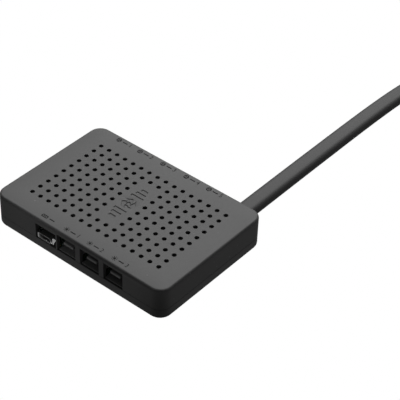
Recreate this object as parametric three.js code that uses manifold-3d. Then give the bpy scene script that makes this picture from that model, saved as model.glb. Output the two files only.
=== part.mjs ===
// A fan and lighting hub: a vented lid over a tray, one circuit board between them, five four-pin
// sockets along the back, three more and a small data port along the front, and a captive flat
// power lead with a drive-style power plug on its end. Millimetres. The origin is the centre of the
// housing's underside, +X runs along the long side, +Y points to the back and +Z is up.

import * as THREE from "three";
import { mergeGeometries, mergeVertices } from "three/addons/utils/BufferGeometryUtils.js";
import Module from "manifold-3d";

const wasm = await Module();
wasm.setup();

// Clearances
const gap = 0.3; // between pieces that touch
const reach = 2; // how far a cutting block runs past the face that it cuts
const weld = 0.5; // how far two joined shapes run into each other

// Housing
const caseLength = 95.6;
const caseWidth = 66.4;
const caseHeight = 16.4;
const cornerRadius = 5.8;
const topRound = 1.2;
const bottomRoundAcross = 2.5;
const bottomRoundUp = 2.0;
const wall = 1.8;
const lidThickness = 1.8;
const floorThickness = 1.6;
const trayRim = 0.2; // of the tray's edge above the board

// Ventilation grid in the lid, with a plain field in the middle for the emblem
const holePitch = 4.8;
const holeRadius = 1.0;
const holeSides = 6;
const holeColumns = 16;
const holeRows = 10;
const plainColumns = [7, 8];
const plainRows = [2, 7];

// Corner screws and the posts that they join
const screwInset = 5.2;
const lidPostRadius = 2.4;
const trayPostRadius = 3.4;
const screwShankRadius = 1.1;
const screwHeadRadius = 2.2;
const screwHeadHeight = 1.1;
const screwLength = 9.0;
const screwTip = 1.0;
const screwHeadRound = [0.45, 0.45]; // across and up
const screwSides = 10;

// Circuit board and the posts that clamp it
const boardThickness = 1.6;
const boardHeight = 3.8; // underside of the board
const boardMargin = 1.0;
const boardPostClearance = 0.5;
const clampPostRadius = 1.7;
const clampInset = [10, 24];

// Four-pin sockets
const rearCount = 5;
const frontCount = 3;
const socketPitch = 13.2;
const rearStart = -30.0;
const frontStart = -5.1;
const socketWidth = 10.2;
const socketHeight = 5.8;
const socketDepth = 3.0;
const socketSideClearance = 0.2;
const pinCount = 4;
const pinPitch = 2.54;
const pinSide = 0.64;
const pinRecess = 4.6; // from the housing's face to the pin tips
const pinLength = 5.4;
const pinHeight = 1.7; // above the socket's foot
const tabWidth = 5.4;
const tabOffset = 0.6; // towards the first pin
const tabThickness = 1.0;
const tabHeight = 4.6;
const tabRecess = 0.8;
const socketFloor = 0.4;
const mouthHeight = 8.3; // of each opening in the lid's wall, above the tray's edge

// Data port
const portX = -18.5;
const portWidth = 7.6;
const portHeight = 2.9;
const portDepth = 5.5;
const portCorner = 0.8;
const portSheet = 0.35;
const portRecess = 0.5;
const portMouthX = -17.1;
const portMouthWidth = 11.7;
const portMouthHeight = 7.4;
const portWingWidth = 1.7; // of the shell's side wing, beyond the shell
const portWingLength = 2.0;
const portWingHeight = 1.2;
const tongueThickness = 0.6;
const tongueLength = 3.6;
const tongueFoot = 1.2;
const tongueSideInset = 1.0;

// Parts on the board
const leadLift = 0.2; // of a chip's body above the board
const leadLength = 0.8;
const leadThickness = 0.2;
const canFoot = 1.0; // height of a capacitor's square foot
const canRadius = 3.15;
const canHeight = 5.6;
const canWall = 0.13; // how much the can is narrower than its foot
const canGroove = 0.25;

// Power lead
const cableWidth = 9.0;
const cableThickness = 5.2;
const cableSideClearance = 0.4;
const grommetWall = 0.4;
const strainTieThickness = 0.6;
const strainTieWidth = 3.0;
const strainTieInset = 8.2;
const stubLength = 13.2;
const wireCount = 4;
const wireRadius = 0.8;
const wirePitch = 2.1;
const wireStraight = 1.5;
const wireReach = 4.3; // from the jacket's cut end to the wire's foot
const wireDroop = 1.2;

// Coil of the put-away lead, which stands on edge
const coilCentre = [2, 296];
const coilOuterTurn = 49;
const coilInnerTurn = 42.6;
const coilClearance = 0.4;
const coilBase = 0.7;
const tieThickness = 0.4;
const tieClearance = 0.5;
const tieWidth = 8;
const tieAngle = 200;
const coilSides = 40;

// Power plug
const plugWidth = 22.5;
const plugHeight = 6.2;
const plugCoverLength = 6.0;
const plugHousingLength = 13.5;
const plugSlotWidth = 19.6;
const plugSlotHeight = 2.4;
const plugSlotDepth = 7.0;
const plugKeyWidth = 1.8;
const plugKeyDepth = 1.0;
const coverShoulder = 1.5; // of the cover beside the cable
const coverTaper = 3.6;
const contactCount = 15;
const contactPitch = 1.27;
const contactWidth = 0.6;
const contactThickness = 0.4;
const contactInset = 1.0;
const contactBar = 0.8;

// Heights and places that follow from the sizes above
const boardTop = boardHeight + boardThickness;
const trayHeight = boardTop + trayRim;
const seamHeight = trayHeight + gap;
const footHeight = boardTop + gap;
const screwX = caseLength / 2 - screwInset;
const screwY = caseWidth / 2 - screwInset;
const clampX = caseLength / 2 - clampInset[0];
const clampY = caseWidth / 2 - clampInset[1];
const socketMouth = socketWidth + 2 * socketSideClearance;
const cableX = screwX - lidPostRadius - cableSideClearance - cableWidth / 2;
const cableHeight = footHeight + strainTieThickness + gap + cableThickness / 2;
const grommetWidth = cableWidth + 2 * (gap + grommetWall);
const grommetHeight = cableThickness + 2 * (gap + grommetWall);
const corners = [[-1, -1], [1, -1], [-1, 1], [1, 1]];

// The lead's route from the back wall to the coil: straight out, then slowly down and to the right.
// Its first point follows the housing and the others are chosen by hand.
const leadRoute = [
  [cableX, caseWidth / 2 + gap, cableHeight],
  [35.3, 45, 9.2],
  [35.3, 62, 9.2],
  [35.3, 80, 9.15],
  [35.3, 98, 9.05],
  [35.3, 116, 8.9],
  [35.4, 134, 8.65],
  [35.8, 152, 8.3],
  [36.8, 168, 7.85],
  [38.4, 184, 7.35],
  [40.6, 200, 6.8],
  [43.0, 216, 6.3],
  [45.5, 232, 5.85],
  [48.0, 248, 5.55],
  [49.8, 260, 5.45],
  [50.5, 267, 5.4],
];
// The last stretch, from the coil's inner turn to the plug. The coil's solid holds its first points.
const tailRoute = [
  [27.0, 330.5, 5.4],
  [20.2, 334.1, 5.2],
  [12.5, 335.7, 4.9],
  [4.8, 335.2, 4.6],
  [-2.6, 332.5, 4.3],
  [-8.5, 328.3, 4.0],
  [-11.5, 325.0, 3.8],
  [-14.1, 321.0, 3.5],
  [-16.2, 316.0, 3.3],
  [-17.3, 310.7, 3.15],
  [-17.8, 305.8, 3.1],
];
const tailInCoil = 5;

// Materials
const finish = (color, roughness, metalness = 0) =>
  new THREE.MeshStandardMaterial({ color, roughness, metalness });
const lidPlastic = finish(0x3a3a3b, 0.62);
const trayPlastic = finish(0x2b2b2c, 0.66);
const socketPlastic = finish(0x161617, 0.5);
const cableJacket = finish(0x353536, 0.58);
const nylon = finish(0x1b1b1c, 0.45);
const rubber = finish(0x1c1c1d, 0.85);
const bareSteel = finish(0xb9bbbe, 0.32, 1);
const blackSteel = finish(0x2a2a2c, 0.4, 1);
const goldPlate = finish(0xc9a45a, 0.3, 1);
const boardLacquer = finish(0x16241b, 0.45);
const chipResin = finish(0x1a1a1c, 0.55);
const canAluminium = finish(0xb4b6b8, 0.35, 1);
const ferrite = finish(0x3b3a39, 0.7);
const wireSleeve = finish(0x232324, 0.5);

// Solids from closed geometries, and back again
function solidOf(geometry) {
  const bare = geometry.clone();
  bare.deleteAttribute("normal");
  bare.deleteAttribute("uv");
  const merged = mergeVertices(bare, 1e-4);
  const vertProperties = Float32Array.from(merged.attributes.position.array);
  const triVerts = Uint32Array.from(merged.index.array);
  return new wasm.Manifold(new wasm.Mesh({ numProp: 3, vertProperties, triVerts }));
}

function geometryOf(solid) {
  const { vertProperties, triVerts } = solid.getMesh();
  const geometry = new THREE.BufferGeometry();
  geometry.setAttribute("position", new THREE.BufferAttribute(vertProperties, 3));
  geometry.setIndex(new THREE.BufferAttribute(triVerts, 1));
  geometry.computeVertexNormals();
  return geometry;
}

const join = (solids) => solids.reduce((whole, solid) => whole.add(solid));
const cut = (solid, cutters) => cutters.reduce((rest, cutter) => rest.subtract(cutter), solid);

// A block between two corners
function block([x0, y0, z0], [x1, y1, z1]) {
  const box = new THREE.BoxGeometry(x1 - x0, y1 - y0, z1 - z0);
  return solidOf(box.translate((x0 + x1) / 2, (y0 + y1) / 2, (z0 + z1) / 2));
}

// An upright round post between two heights
function postGeometry(radius, z0, z1, x, y, sides) {
  const post = new THREE.CylinderGeometry(radius, radius, z1 - z0, sides);
  return post.rotateX(Math.PI / 2).translate(x, y, (z0 + z1) / 2);
}

const post = (radius, z0, z1, x, y, sides = 12) => solidOf(postGeometry(radius, z0, z1, x, y, sides));

// A rectangle with round corners, centred on its own origin
function roundedRectangle(length, width, radius, outline = new THREE.Shape()) {
  const x = length / 2 - radius;
  const y = width / 2 - radius;
  outline.absarc(x, y, radius, 0, Math.PI / 2);
  outline.absarc(-x, y, radius, Math.PI / 2, Math.PI);
  outline.absarc(-x, -y, radius, Math.PI, 1.5 * Math.PI);
  outline.absarc(x, -y, radius, 1.5 * Math.PI, 2 * Math.PI);
  outline.closePath();
  return outline;
}

// An outline raised between two heights
function slab(outline, z0, z1, curveSegments = 3) {
  const options = { depth: z1 - z0, bevelEnabled: false, curveSegments };
  return solidOf(new THREE.ExtrudeGeometry(outline, options).translate(0, 0, z0));
}

// The housing's outline over its whole height, its two rims rounded over a quarter ellipse
function roundedCase(across, up) {
  const options = {
    depth: caseHeight - 2 * up,
    bevelThickness: up,
    bevelSize: across,
    bevelOffset: -across,
    bevelSegments: 3,
    curveSegments: 3,
  };
  const outline = roundedRectangle(caseLength, caseWidth, cornerRadius);
  return solidOf(new THREE.ExtrudeGeometry(outline, options).translate(0, 0, up));
}

// An outline in the XZ plane, carried along Y between two places
function barAlongY(outline, y0, y1, curveSegments = 2) {
  const options = { depth: y1 - y0, bevelEnabled: false, curveSegments };
  return new THREE.ExtrudeGeometry(outline, options).rotateX(Math.PI / 2).translate(0, y1, 0);
}

const everything = (z0, z1) =>
  block([-caseLength, -caseWidth, z0], [caseLength, caseWidth, z1]);
const cavity = (z0, z1) =>
  slab(roundedRectangle(caseLength - 2 * wall, caseWidth - 2 * wall, cornerRadius - wall), z0, z1);

// The openings in the lid's side walls: a notch up from the tray's edge
function wallNotch(x, side, width, height) {
  const inner = caseWidth / 2 - wall - reach;
  const outer = caseWidth / 2 + reach;
  const [y0, y1] = side < 0 ? [-outer, -inner] : [inner, outer];
  return block([x - width / 2, y0, seamHeight - reach], [x + width / 2, y1, seamHeight + height]);
}

const rearX = Array.from({ length: rearCount }, (_, i) => rearStart + i * socketPitch);
const frontX = Array.from({ length: frontCount }, (_, i) => frontStart + i * socketPitch);

function ventilationHoles() {
  const foot = caseHeight - lidThickness - weld;
  const holes = [];
  for (let column = 0; column < holeColumns; column += 1) {
    for (let row = 0; row < holeRows; row += 1) {
      const plain = column >= plainColumns[0] && column <= plainColumns[1]
        && row >= plainRows[0] && row <= plainRows[1];
      if (!plain) {
        const x = (column - (holeColumns - 1) / 2) * holePitch;
        const y = (row - (holeRows - 1) / 2) * holePitch;
        holes.push(postGeometry(holeRadius, foot, caseHeight + reach, x, y, holeSides));
      }
    }
  }
  return solidOf(mergeGeometries(holes));
}

function topCover() {
  const inside = caseHeight - lidThickness;
  const shell = roundedCase(topRound, topRound)
    .subtract(everything(-reach, seamHeight))
    .subtract(cavity(-reach, inside));
  const posts = corners.flatMap(([sx, sy]) => [
    post(lidPostRadius, seamHeight, inside + weld, sx * screwX, sy * screwY),
    post(clampPostRadius, footHeight, inside + weld, sx * clampX, sy * clampY),
  ]);
  const screwHoles = corners.map(([sx, sy]) =>
    post(screwShankRadius + gap, 0, screwLength + screwTip, sx * screwX, sy * screwY, screwSides));
  const notches = [
    ...rearX.map((x) => wallNotch(x, 1, socketMouth, mouthHeight)),
    ...frontX.map((x) => wallNotch(x, -1, socketMouth, mouthHeight)),
    wallNotch(portMouthX, -1, portMouthWidth, portMouthHeight),
    wallNotch(cableX, 1, grommetWidth + 2 * gap, cableHeight + grommetHeight / 2 + gap - seamHeight),
  ];
  return cut(join([shell, ...posts]), [...screwHoles, ...notches, ventilationHoles()]);
}

function bottomTray() {
  const shell = roundedCase(bottomRoundAcross, bottomRoundUp)
    .subtract(everything(trayHeight, caseHeight + reach))
    .subtract(cavity(floorThickness, caseHeight));
  const posts = corners.flatMap(([sx, sy]) => [
    post(trayPostRadius, floorThickness - weld, trayHeight, sx * screwX, sy * screwY),
    post(clampPostRadius, floorThickness - weld, boardHeight - gap, sx * clampX, sy * clampY),
  ]);
  const screwHoles = corners.flatMap(([sx, sy]) => [
    post(screwShankRadius + gap, -reach, trayHeight + reach, sx * screwX, sy * screwY, screwSides),
    post(screwHeadRadius + gap, -reach, screwHeadHeight + 2 * gap, sx * screwX, sy * screwY),
  ]);
  return cut(join([shell, ...posts]), screwHoles);
}

// A pan-head screw, head down, turned about its own axis
function screwGeometry() {
  const shankFoot = gap + screwHeadHeight;
  const [roundAcross, roundUp] = screwHeadRound;
  const profile = [
    [0, gap],
    [screwHeadRadius - roundAcross, gap],
    [screwHeadRadius, gap + roundUp],
    [screwHeadRadius, shankFoot],
    [screwShankRadius, shankFoot],
    [screwShankRadius, screwLength - screwTip],
    [0, screwLength],
  ].map(([x, y]) => new THREE.Vector2(x, y));
  return new THREE.LatheGeometry(profile, screwSides).rotateX(Math.PI / 2);
}

function circuitBoard() {
  const x = caseLength / 2 - wall - boardMargin;
  const y = caseWidth / 2 - wall - boardMargin;
  const notchX = screwX - trayPostRadius - boardPostClearance;
  const notchY = screwY - trayPostRadius - boardPostClearance;
  const notches = corners.map(([sx, sy]) => {
    const [x0, x1] = sx < 0 ? [-x - reach, -notchX] : [notchX, x + reach];
    const [y0, y1] = sy < 0 ? [-y - reach, -notchY] : [notchY, y + reach];
    return block([x0, y0, 0], [x1, y1, caseHeight]);
  });
  return cut(block([-x, -y, boardHeight], [x, y, boardTop]), notches);
}

// A socket's parts are drawn with its mouth at Y = 0 facing -Y, and Z = 0 at its foot
const socketBack = pinRecess + pinLength + socketDepth;
const pinX = Array.from({ length: pinCount }, (_, i) => (i - (pinCount - 1) / 2) * pinPitch);

function socketBody() {
  const front = socketBack - socketDepth;
  const base = block([-socketWidth / 2, front, 0], [socketWidth / 2, socketBack, socketHeight]);
  const tab = block(
    [tabOffset - tabWidth / 2, tabRecess, tabHeight],
    [tabOffset + tabWidth / 2, front + weld, tabHeight + tabThickness],
  );
  const floor = block([-socketWidth / 2, tabRecess, 0], [socketWidth / 2, front + weld, socketFloor]);
  const bore = pinSide / 2 + gap;
  const bores = pinX.map((x) =>
    block(
      [x - bore, front - reach, pinHeight - bore],
      [x + bore, socketBack + reach, pinHeight + bore],
    ));
  return cut(join([base, tab, floor]), bores);
}

// Four bent contacts, joined behind the socket by a thin bar
function pinComb() {
  const half = pinSide / 2;
  const legY = socketBack + gap + half;
  const pins = pinX.flatMap((x) => [
    block([x - half, pinRecess, pinHeight - half], [x + half, legY + half, pinHeight + half]),
    block([x - half, legY - half, 0], [x + half, legY + half, pinHeight]),
  ]);
  const bar = block([pinX[0], legY - half, half], [pinX[pinCount - 1], legY + half, 3 * half]);
  return join([...pins, bar]);
}

function portShell() {
  const outline = roundedRectangle(portWidth, portHeight, portCorner);
  const hole = roundedRectangle(
    portWidth - 2 * portSheet, portHeight - 2 * portSheet, portCorner - portSheet, new THREE.Path());
  outline.holes.push(hole);
  const skin = barAlongY(outline, portRecess, portRecess + portDepth).translate(0, 0, portHeight / 2);
  const wing = block(
    [portWidth / 2 - portSheet / 2, portRecess, portWingHeight],
    [portWidth / 2 + portWingWidth, portRecess + portWingLength, portWingHeight + portSheet],
  );
  return solidOf(skin).add(wing);
}

function portTongue() {
  const x = portWidth / 2 - portSheet - gap;
  const z = portHeight / 2 - portSheet - gap;
  const back = portRecess + portDepth;
  const foot = back - tongueFoot;
  const middle = portHeight / 2;
  const blade = tongueThickness / 2;
  return join([
    block([-x + portCorner, foot, middle - z], [x - portCorner, back, middle + z]),
    block(
      [tongueSideInset - x, foot - tongueLength, middle - blade],
      [x - tongueSideInset, foot + weld, middle + blade],
    ),
  ]);
}

// A surface-mount chip: its moulded body and a row of leads on two or four sides
function chip(length, width, height, leads, fourSides) {
  const pieces = [block([-length / 2, -width / 2, leadLift], [length / 2, width / 2, height])];
  const rows = fourSides ? [[length, width, false], [width, length, true]] : [[length, width, false]];
  for (const [along, across, turned] of rows) {
    const step = along / (leads + 1);
    for (let i = 1; i <= leads; i += 1) {
      const at = i * step - along / 2;
      const low = [at - step / 4, -across / 2 - leadLength, 0];
      const high = [at + step / 4, across / 2 + leadLength, leadLift + leadThickness];
      const swap = ([x, y, z]) => (turned ? [y, x, z] : [x, y, z]);
      pieces.push(block(swap(low), swap(high)));
    }
  }
  return join(pieces);
}

// An electrolytic can, grooved above its square foot and rounded at its top
function canCapacitor() {
  const foot = block([-canRadius, -canRadius, 0], [canRadius, canRadius, canFoot]);
  const side = canRadius - canWall;
  const profile = [
    [0, canFoot / 2],
    [side, canFoot / 2],
    [side, canFoot + 2 * canGroove],
    [side - canGroove, canFoot + 3 * canGroove],
    [side, canFoot + 4 * canGroove],
    [side, canHeight - canGroove],
    [side - canGroove, canHeight],
    [0, canHeight],
  ].map(([x, y]) => new THREE.Vector2(x, y));
  return foot.add(solidOf(new THREE.LatheGeometry(profile, 12).rotateX(Math.PI / 2)));
}

const softBlock = (length, width, height, radius) =>
  slab(roundedRectangle(length, width, radius), 0, height, 2);

// The board's parts: a name, a shape of its own length, width and height, and its foot's centre
const boardParts = [
  ["microcontroller", chip(7, 7, 1.4, 4, true), chipResin, -6, -3],
  ["level_shifter", chip(5, 4, 1.5, 4, false), chipResin, 8, -11],
  ["data_protector", chip(3, 1.8, 1.2, 3, false), chipResin, portX, -20],
  ["crystal", softBlock(5, 3.2, 1.2, 0.8), bareSteel, -15, -3],
  ["power_regulator", chip(6.6, 6, 2.3, 3, false), chipResin, 21, 1],
  ["power_inductor", softBlock(6.5, 6.5, 3.2, 1.2), ferrite, 30, 0],
  ["capacitor_1", canCapacitor(), canAluminium, 21, -11],
  ["capacitor_2", canCapacitor(), canAluminium, 30, -11],
  ...rearX.map((x, i) => [`fan_driver_${i + 1}`, chip(5, 4, 1.5, 4, false), chipResin, x, 11]),
];

// The lead's flat section: two half circles, a set clearance outside the jacket. Its width lies
// along X when it stands in the XZ plane, and along Y for a sweep along a path.
function cableOutline(clearance = 0, outline = new THREE.Shape(), alongPath = false) {
  const radius = cableThickness / 2 + clearance;
  const centre = (cableWidth - cableThickness) / 2;
  const start = alongPath ? 0 : -Math.PI / 2;
  const [x, y] = alongPath ? [0, centre] : [centre, 0];
  outline.absarc(x, y, radius, start, start + Math.PI);
  outline.absarc(-x, -y, radius, start + Math.PI, start + 2 * Math.PI);
  outline.closePath();
  return outline;
}

const cableSection = () => cableOutline(0, new THREE.Shape(), true);

function cableGrommet() {
  const outline = cableOutline(gap + grommetWall);
  outline.holes.push(cableOutline(gap, new THREE.Path()));
  return barAlongY(outline, caseWidth / 2 - wall, caseWidth / 2);
}

function strainTie() {
  const outline = cableOutline(gap + strainTieThickness);
  outline.holes.push(cableOutline(gap, new THREE.Path()));
  const back = caseWidth / 2 - strainTieInset;
  return barAlongY(outline, back - strainTieWidth, back);
}

const cableStub = () =>
  barAlongY(cableOutline(0), caseWidth / 2 - stubLength, caseWidth / 2);

// A tube of a given section along points that a smooth curve joins
function tube(outline, points, steps, curveSegments) {
  const extrudePath = new THREE.CatmullRomCurve3(points.map((point) => new THREE.Vector3(...point)));
  return new THREE.ExtrudeGeometry(outline, { extrudePath, steps, curveSegments });
}

// A wire from the jacket's cut end, down to the board
function powerWire(index) {
  const x = cableX + (index - (wireCount - 1) / 2) * wirePitch;
  const y = caseWidth / 2 - stubLength - gap;
  const route = [
    [x, y, cableHeight],
    [x, y - wireStraight, cableHeight],
    [x, y - (wireStraight + wireReach) / 2 - gap, cableHeight - wireDroop],
    [x, y - wireReach, footHeight + wireDroop / 2],
    [x, y - wireReach, footHeight],
  ];
  const ring = new THREE.Shape().absarc(0, 0, wireRadius, 0, 2 * Math.PI);
  return tube(ring, route, 6, 4);
}

// The coil's outer shape, a square-edged ring round its own axis
function coilRing() {
  const margin = cableThickness / 2 + coilClearance;
  const inner = coilInnerTurn - margin;
  const outer = coilOuterTurn + margin;
  const top = coilBase + cableWidth + coilClearance;
  const profile = [[inner, coilBase], [outer, coilBase], [outer, top], [inner, top], [inner, coilBase]];
  const ring = new THREE.LatheGeometry(profile.map(([x, y]) => new THREE.Vector2(x, y)), coilSides);
  return ring.rotateX(Math.PI / 2);
}

function coilTie() {
  const margin = cableThickness / 2 + coilClearance + tieClearance;
  const inner = coilInnerTurn - margin;
  const outer = coilOuterTurn + margin;
  const top = coilBase + cableWidth + coilClearance + gap;
  const side = tieWidth / 2;
  const around = block([inner - tieThickness, -side, 0], [outer + tieThickness, side, top + tieThickness]);
  return around.subtract(block([inner, -side - reach, tieThickness], [outer, side + reach, top]));
}

// The plug is drawn with the lead's end at X = 0 and its mouth facing +X, lying on Z = 0
const plugMouth = plugCoverLength + gap + plugHousingLength;

function plugHousing() {
  const half = plugWidth / 2;
  const low = plugHeight / 2 - plugSlotHeight / 2;
  const slotFoot = plugMouth - plugSlotDepth;
  const slotSide = plugSlotWidth / 2;
  return cut(block([plugCoverLength + gap, -half, 0], [plugMouth, half, plugHeight]), [
    block([slotFoot, -slotSide, low], [plugMouth + reach, slotSide, low + plugSlotHeight]),
    block(
      [slotFoot, slotSide - plugKeyWidth, low - plugKeyDepth],
      [plugMouth + reach, slotSide, low + weld],
    ),
  ]);
}

function plugCover() {
  const half = plugWidth / 2;
  const outline = new THREE.Shape();
  outline.moveTo(0, -cableWidth / 2 - coverShoulder);
  outline.lineTo(coverTaper, -half);
  outline.lineTo(plugCoverLength, -half);
  outline.lineTo(plugCoverLength, half);
  outline.lineTo(coverTaper, half);
  outline.lineTo(0, cableWidth / 2 + coverShoulder);
  outline.closePath();
  return slab(outline, 0, plugHeight);
}

// The row of spring contacts in the plug's slot, joined at the back of the slot
function plugContacts() {
  const low = plugHeight / 2 - plugSlotHeight / 2 + gap;
  const foot = plugMouth - plugSlotDepth + gap;
  const last = (contactCount - 1) / 2 * contactPitch;
  const fingers = Array.from({ length: contactCount }, (_, i) => {
    const y = i * contactPitch - last;
    return block(
      [foot, y - contactWidth / 2, low],
      [plugMouth - contactInset, y + contactWidth / 2, low + contactThickness],
    );
  });
  const side = last + contactWidth / 2;
  const bar = block([foot, -side, low], [foot + contactBar, side, low + contactThickness]);
  return join([bar, ...fingers]);
}

// The assembly
const hub = new THREE.Group();

function place(name, shape, material, x = 0, y = 0, z = 0, turn = 0, into = hub) {
  const geometry = shape.isBufferGeometry ? shape : geometryOf(shape);
  const mesh = new THREE.Mesh(geometry, material);
  mesh.name = name;
  mesh.position.set(x, y, z);
  mesh.rotation.z = turn;
  into.add(mesh);
}

place("top_cover", topCover(), lidPlastic);
place("bottom_tray", bottomTray(), trayPlastic);
corners.forEach(([sx, sy], i) => {
  place(`case_screw_${i + 1}`, screwGeometry(), blackSteel, sx * screwX, sy * screwY);
});
place("circuit_board", circuitBoard(), boardLacquer);
rearX.forEach((x, i) => {
  place(`fan_socket_${i + 1}`, socketBody(), socketPlastic, x, caseWidth / 2, footHeight, Math.PI);
  place(`fan_pins_${i + 1}`, pinComb(), goldPlate, x, caseWidth / 2, footHeight, Math.PI);
});
frontX.forEach((x, i) => {
  place(`light_socket_${i + 1}`, socketBody(), socketPlastic, x, -caseWidth / 2, footHeight);
  place(`light_pins_${i + 1}`, pinComb(), goldPlate, x, -caseWidth / 2, footHeight);
});
place("data_port_shell", portShell(), bareSteel, portX, -caseWidth / 2, footHeight);
place("data_port_tongue", portTongue(), socketPlastic, portX, -caseWidth / 2, footHeight);
boardParts.forEach(([name, shape, material, x, y]) => {
  place(name, shape, material, x, y, footHeight);
});

place("cable_grommet", cableGrommet(), rubber, cableX, 0, cableHeight);
place("strain_tie", strainTie(), nylon, cableX, 0, cableHeight);
place("cable_stub", cableStub(), cableJacket, cableX, 0, cableHeight);
for (let i = 0; i < wireCount; i += 1) {
  place(`power_wire_${i + 1}`, powerWire(i), wireSleeve);
}

place("power_cable", tube(cableSection(), leadRoute, 14, 2), cableJacket);
place("power_cable_coil", coilRing(), cableJacket, ...coilCentre);
place("power_cable_tail", tube(cableSection(), tailRoute.slice(tailInCoil), 4, 2), cableJacket);
const tieTurn = THREE.MathUtils.degToRad(tieAngle);
place("cable_tie", coilTie(), nylon, ...coilCentre, 0, tieTurn);

// The plug carries on from the tail's last stretch
const tailEnd = new THREE.Vector3(...tailRoute.at(-1));
const plugHeading = Math.atan2(
  tailRoute.at(-1)[1] - tailRoute.at(-2)[1], tailRoute.at(-1)[0] - tailRoute.at(-2)[0]);
const plug = new THREE.Group();
plug.position.set(
  tailEnd.x + gap * Math.cos(plugHeading), tailEnd.y + gap * Math.sin(plugHeading), 0);
plug.rotation.z = plugHeading;
hub.add(plug);
place("plug_housing", plugHousing(), socketPlastic, 0, 0, 0, 0, plug);
place("plug_cover", plugCover(), socketPlastic, 0, 0, 0, 0, plug);
place("plug_contacts", plugContacts(), goldPlate, 0, 0, 0, 0, plug);

export default hub;
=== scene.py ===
import math

import bmesh
import bpy
import numpy as np
from mathutils import Matrix, Vector
from mathutils.geometry import delaunay_2d_cdt


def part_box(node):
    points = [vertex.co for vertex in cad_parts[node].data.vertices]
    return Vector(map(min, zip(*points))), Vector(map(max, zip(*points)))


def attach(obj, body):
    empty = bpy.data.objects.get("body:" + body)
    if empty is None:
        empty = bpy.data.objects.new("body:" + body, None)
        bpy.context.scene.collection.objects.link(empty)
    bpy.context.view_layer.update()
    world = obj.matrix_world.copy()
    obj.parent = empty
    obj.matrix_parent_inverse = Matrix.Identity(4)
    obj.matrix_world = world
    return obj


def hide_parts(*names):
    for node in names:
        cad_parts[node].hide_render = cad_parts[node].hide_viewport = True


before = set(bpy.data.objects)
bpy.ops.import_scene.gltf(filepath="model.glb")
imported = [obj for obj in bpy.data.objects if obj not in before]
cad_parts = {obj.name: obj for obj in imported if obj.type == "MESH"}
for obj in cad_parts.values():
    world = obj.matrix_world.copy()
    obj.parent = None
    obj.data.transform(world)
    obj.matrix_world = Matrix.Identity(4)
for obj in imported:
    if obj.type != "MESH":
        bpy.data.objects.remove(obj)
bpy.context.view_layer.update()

# A fan and lighting hub. Every shape below is worked out in millimetres and put into its mesh in
# metres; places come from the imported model's boxes.

metre = 0.001


def boxOf(node):
    # lowest and highest corner of a node at rest, in millimetres
    return np.array([list(corner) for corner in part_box(node)], float) / metre


def middleOf(node):
    return boxOf(node).mean(axis=0)


lidBox = boxOf("top_cover")
trayBox = boxOf("bottom_tray")
halfX, halfY = lidBox[1][0], lidBox[1][1]
caseTop = lidBox[1][2]
seamTop = lidBox[0][2]
seamBottom = trayBox[1][2]

# The camera stands where the product's long side and its front are both in view.
cameraSetup = {
    "azimuth": 38.35,     # degrees to the right of straight on
    "elevation": 39.66,   # degrees above the desk
    "roll": 2.33,         # degrees that the picture's right edge is raised
    "distance": 598.5,    # mm to the aim point
    "aim": (21.3, 22.1),  # mm on the lid's plane
    "lens": 125.56,       # mm on a 36 mm sensor
}


def addCamera(setup):
    azimuth = math.radians(setup["azimuth"])
    elevation = math.radians(setup["elevation"])
    roll = math.radians(setup["roll"])
    forward = Vector((-math.sin(azimuth) * math.cos(elevation),
                      math.cos(azimuth) * math.cos(elevation), -math.sin(elevation)))
    level = Vector((math.cos(azimuth), math.sin(azimuth), 0))
    upright = level.cross(forward)
    right = level * math.cos(roll) + upright * math.sin(roll)
    above = right.cross(forward)
    aim = Vector((*setup["aim"], caseTop))
    place = (aim - forward * setup["distance"]) * metre
    camera = bpy.data.objects.new("studioCamera", bpy.data.cameras.new("studioCamera"))
    camera.data.lens = setup["lens"]
    camera.data.sensor_width = 36
    camera.data.clip_start = 0.01
    turn = Matrix((right, above, -forward)).transposed().to_4x4()
    camera.matrix_world = Matrix.Translation(place) @ turn
    bpy.context.collection.objects.link(camera)
    bpy.context.scene.camera = camera


addCamera(cameraSetup)
print("camera placed")

# A shape is (points, smooth faces, flat faces): points in millimetres, faces as lists of indices.


def joinShapes(*shapes):
    points, smooth, flat, first = [], [], [], 0
    for corners, round_, plane in shapes:
        points.append(np.asarray(corners, float).reshape(-1, 3))
        smooth += [[i + first for i in face] for face in round_]
        flat += [[i + first for i in face] for face in plane]
        first += len(points[-1])
    return np.concatenate(points), smooth, flat


def moved(shape, offset=(0, 0, 0), turn=0.0, swap=None):
    # swap reorders the axes first, then the shape is turned about +Z and moved
    points = np.array(shape[0], float)
    if swap:
        points = points[:, swap]
    c, s = math.cos(turn), math.sin(turn)
    points = points @ np.array([[c, s, 0], [-s, c, 0], [0, 0, 1]]) + np.asarray(offset, float)
    return points, shape[1], shape[2]


def gridQuads(rows, columns, keep=None):
    # the quads between neighbouring rows of a closed grid; keep is a mask of (rows - 1, columns)
    row, column = np.meshgrid(np.arange(rows - 1), np.arange(columns), indexing="ij")
    after = (column + 1) % columns
    quads = np.stack([row * columns + column, row * columns + after,
                      (row + 1) * columns + after, (row + 1) * columns + column], -1)
    return quads[keep if keep is not None else np.ones((rows - 1, columns), bool)].tolist()


def ringShape(rings, capFirst=True, capLast=True):
    # rings is (rows, columns, 3): a skin over closed rings, with a flat face at either end
    rows, columns = rings.shape[:2]
    caps = []
    if capFirst:
        caps.append(list(range(columns)))
    if capLast:
        caps.append(list(range((rows - 1) * columns, rows * columns)))
    return rings.reshape(-1, 3), gridQuads(rows, columns), caps


def circle(radius, sides, x=0.0, y=0.0):
    # radius times the cosine and sine of equal steps round a full turn
    angle = np.arange(sides) * 2 * np.pi / sides
    return np.stack([x + radius * np.cos(angle), y + radius * np.sin(angle)], -1)


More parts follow.
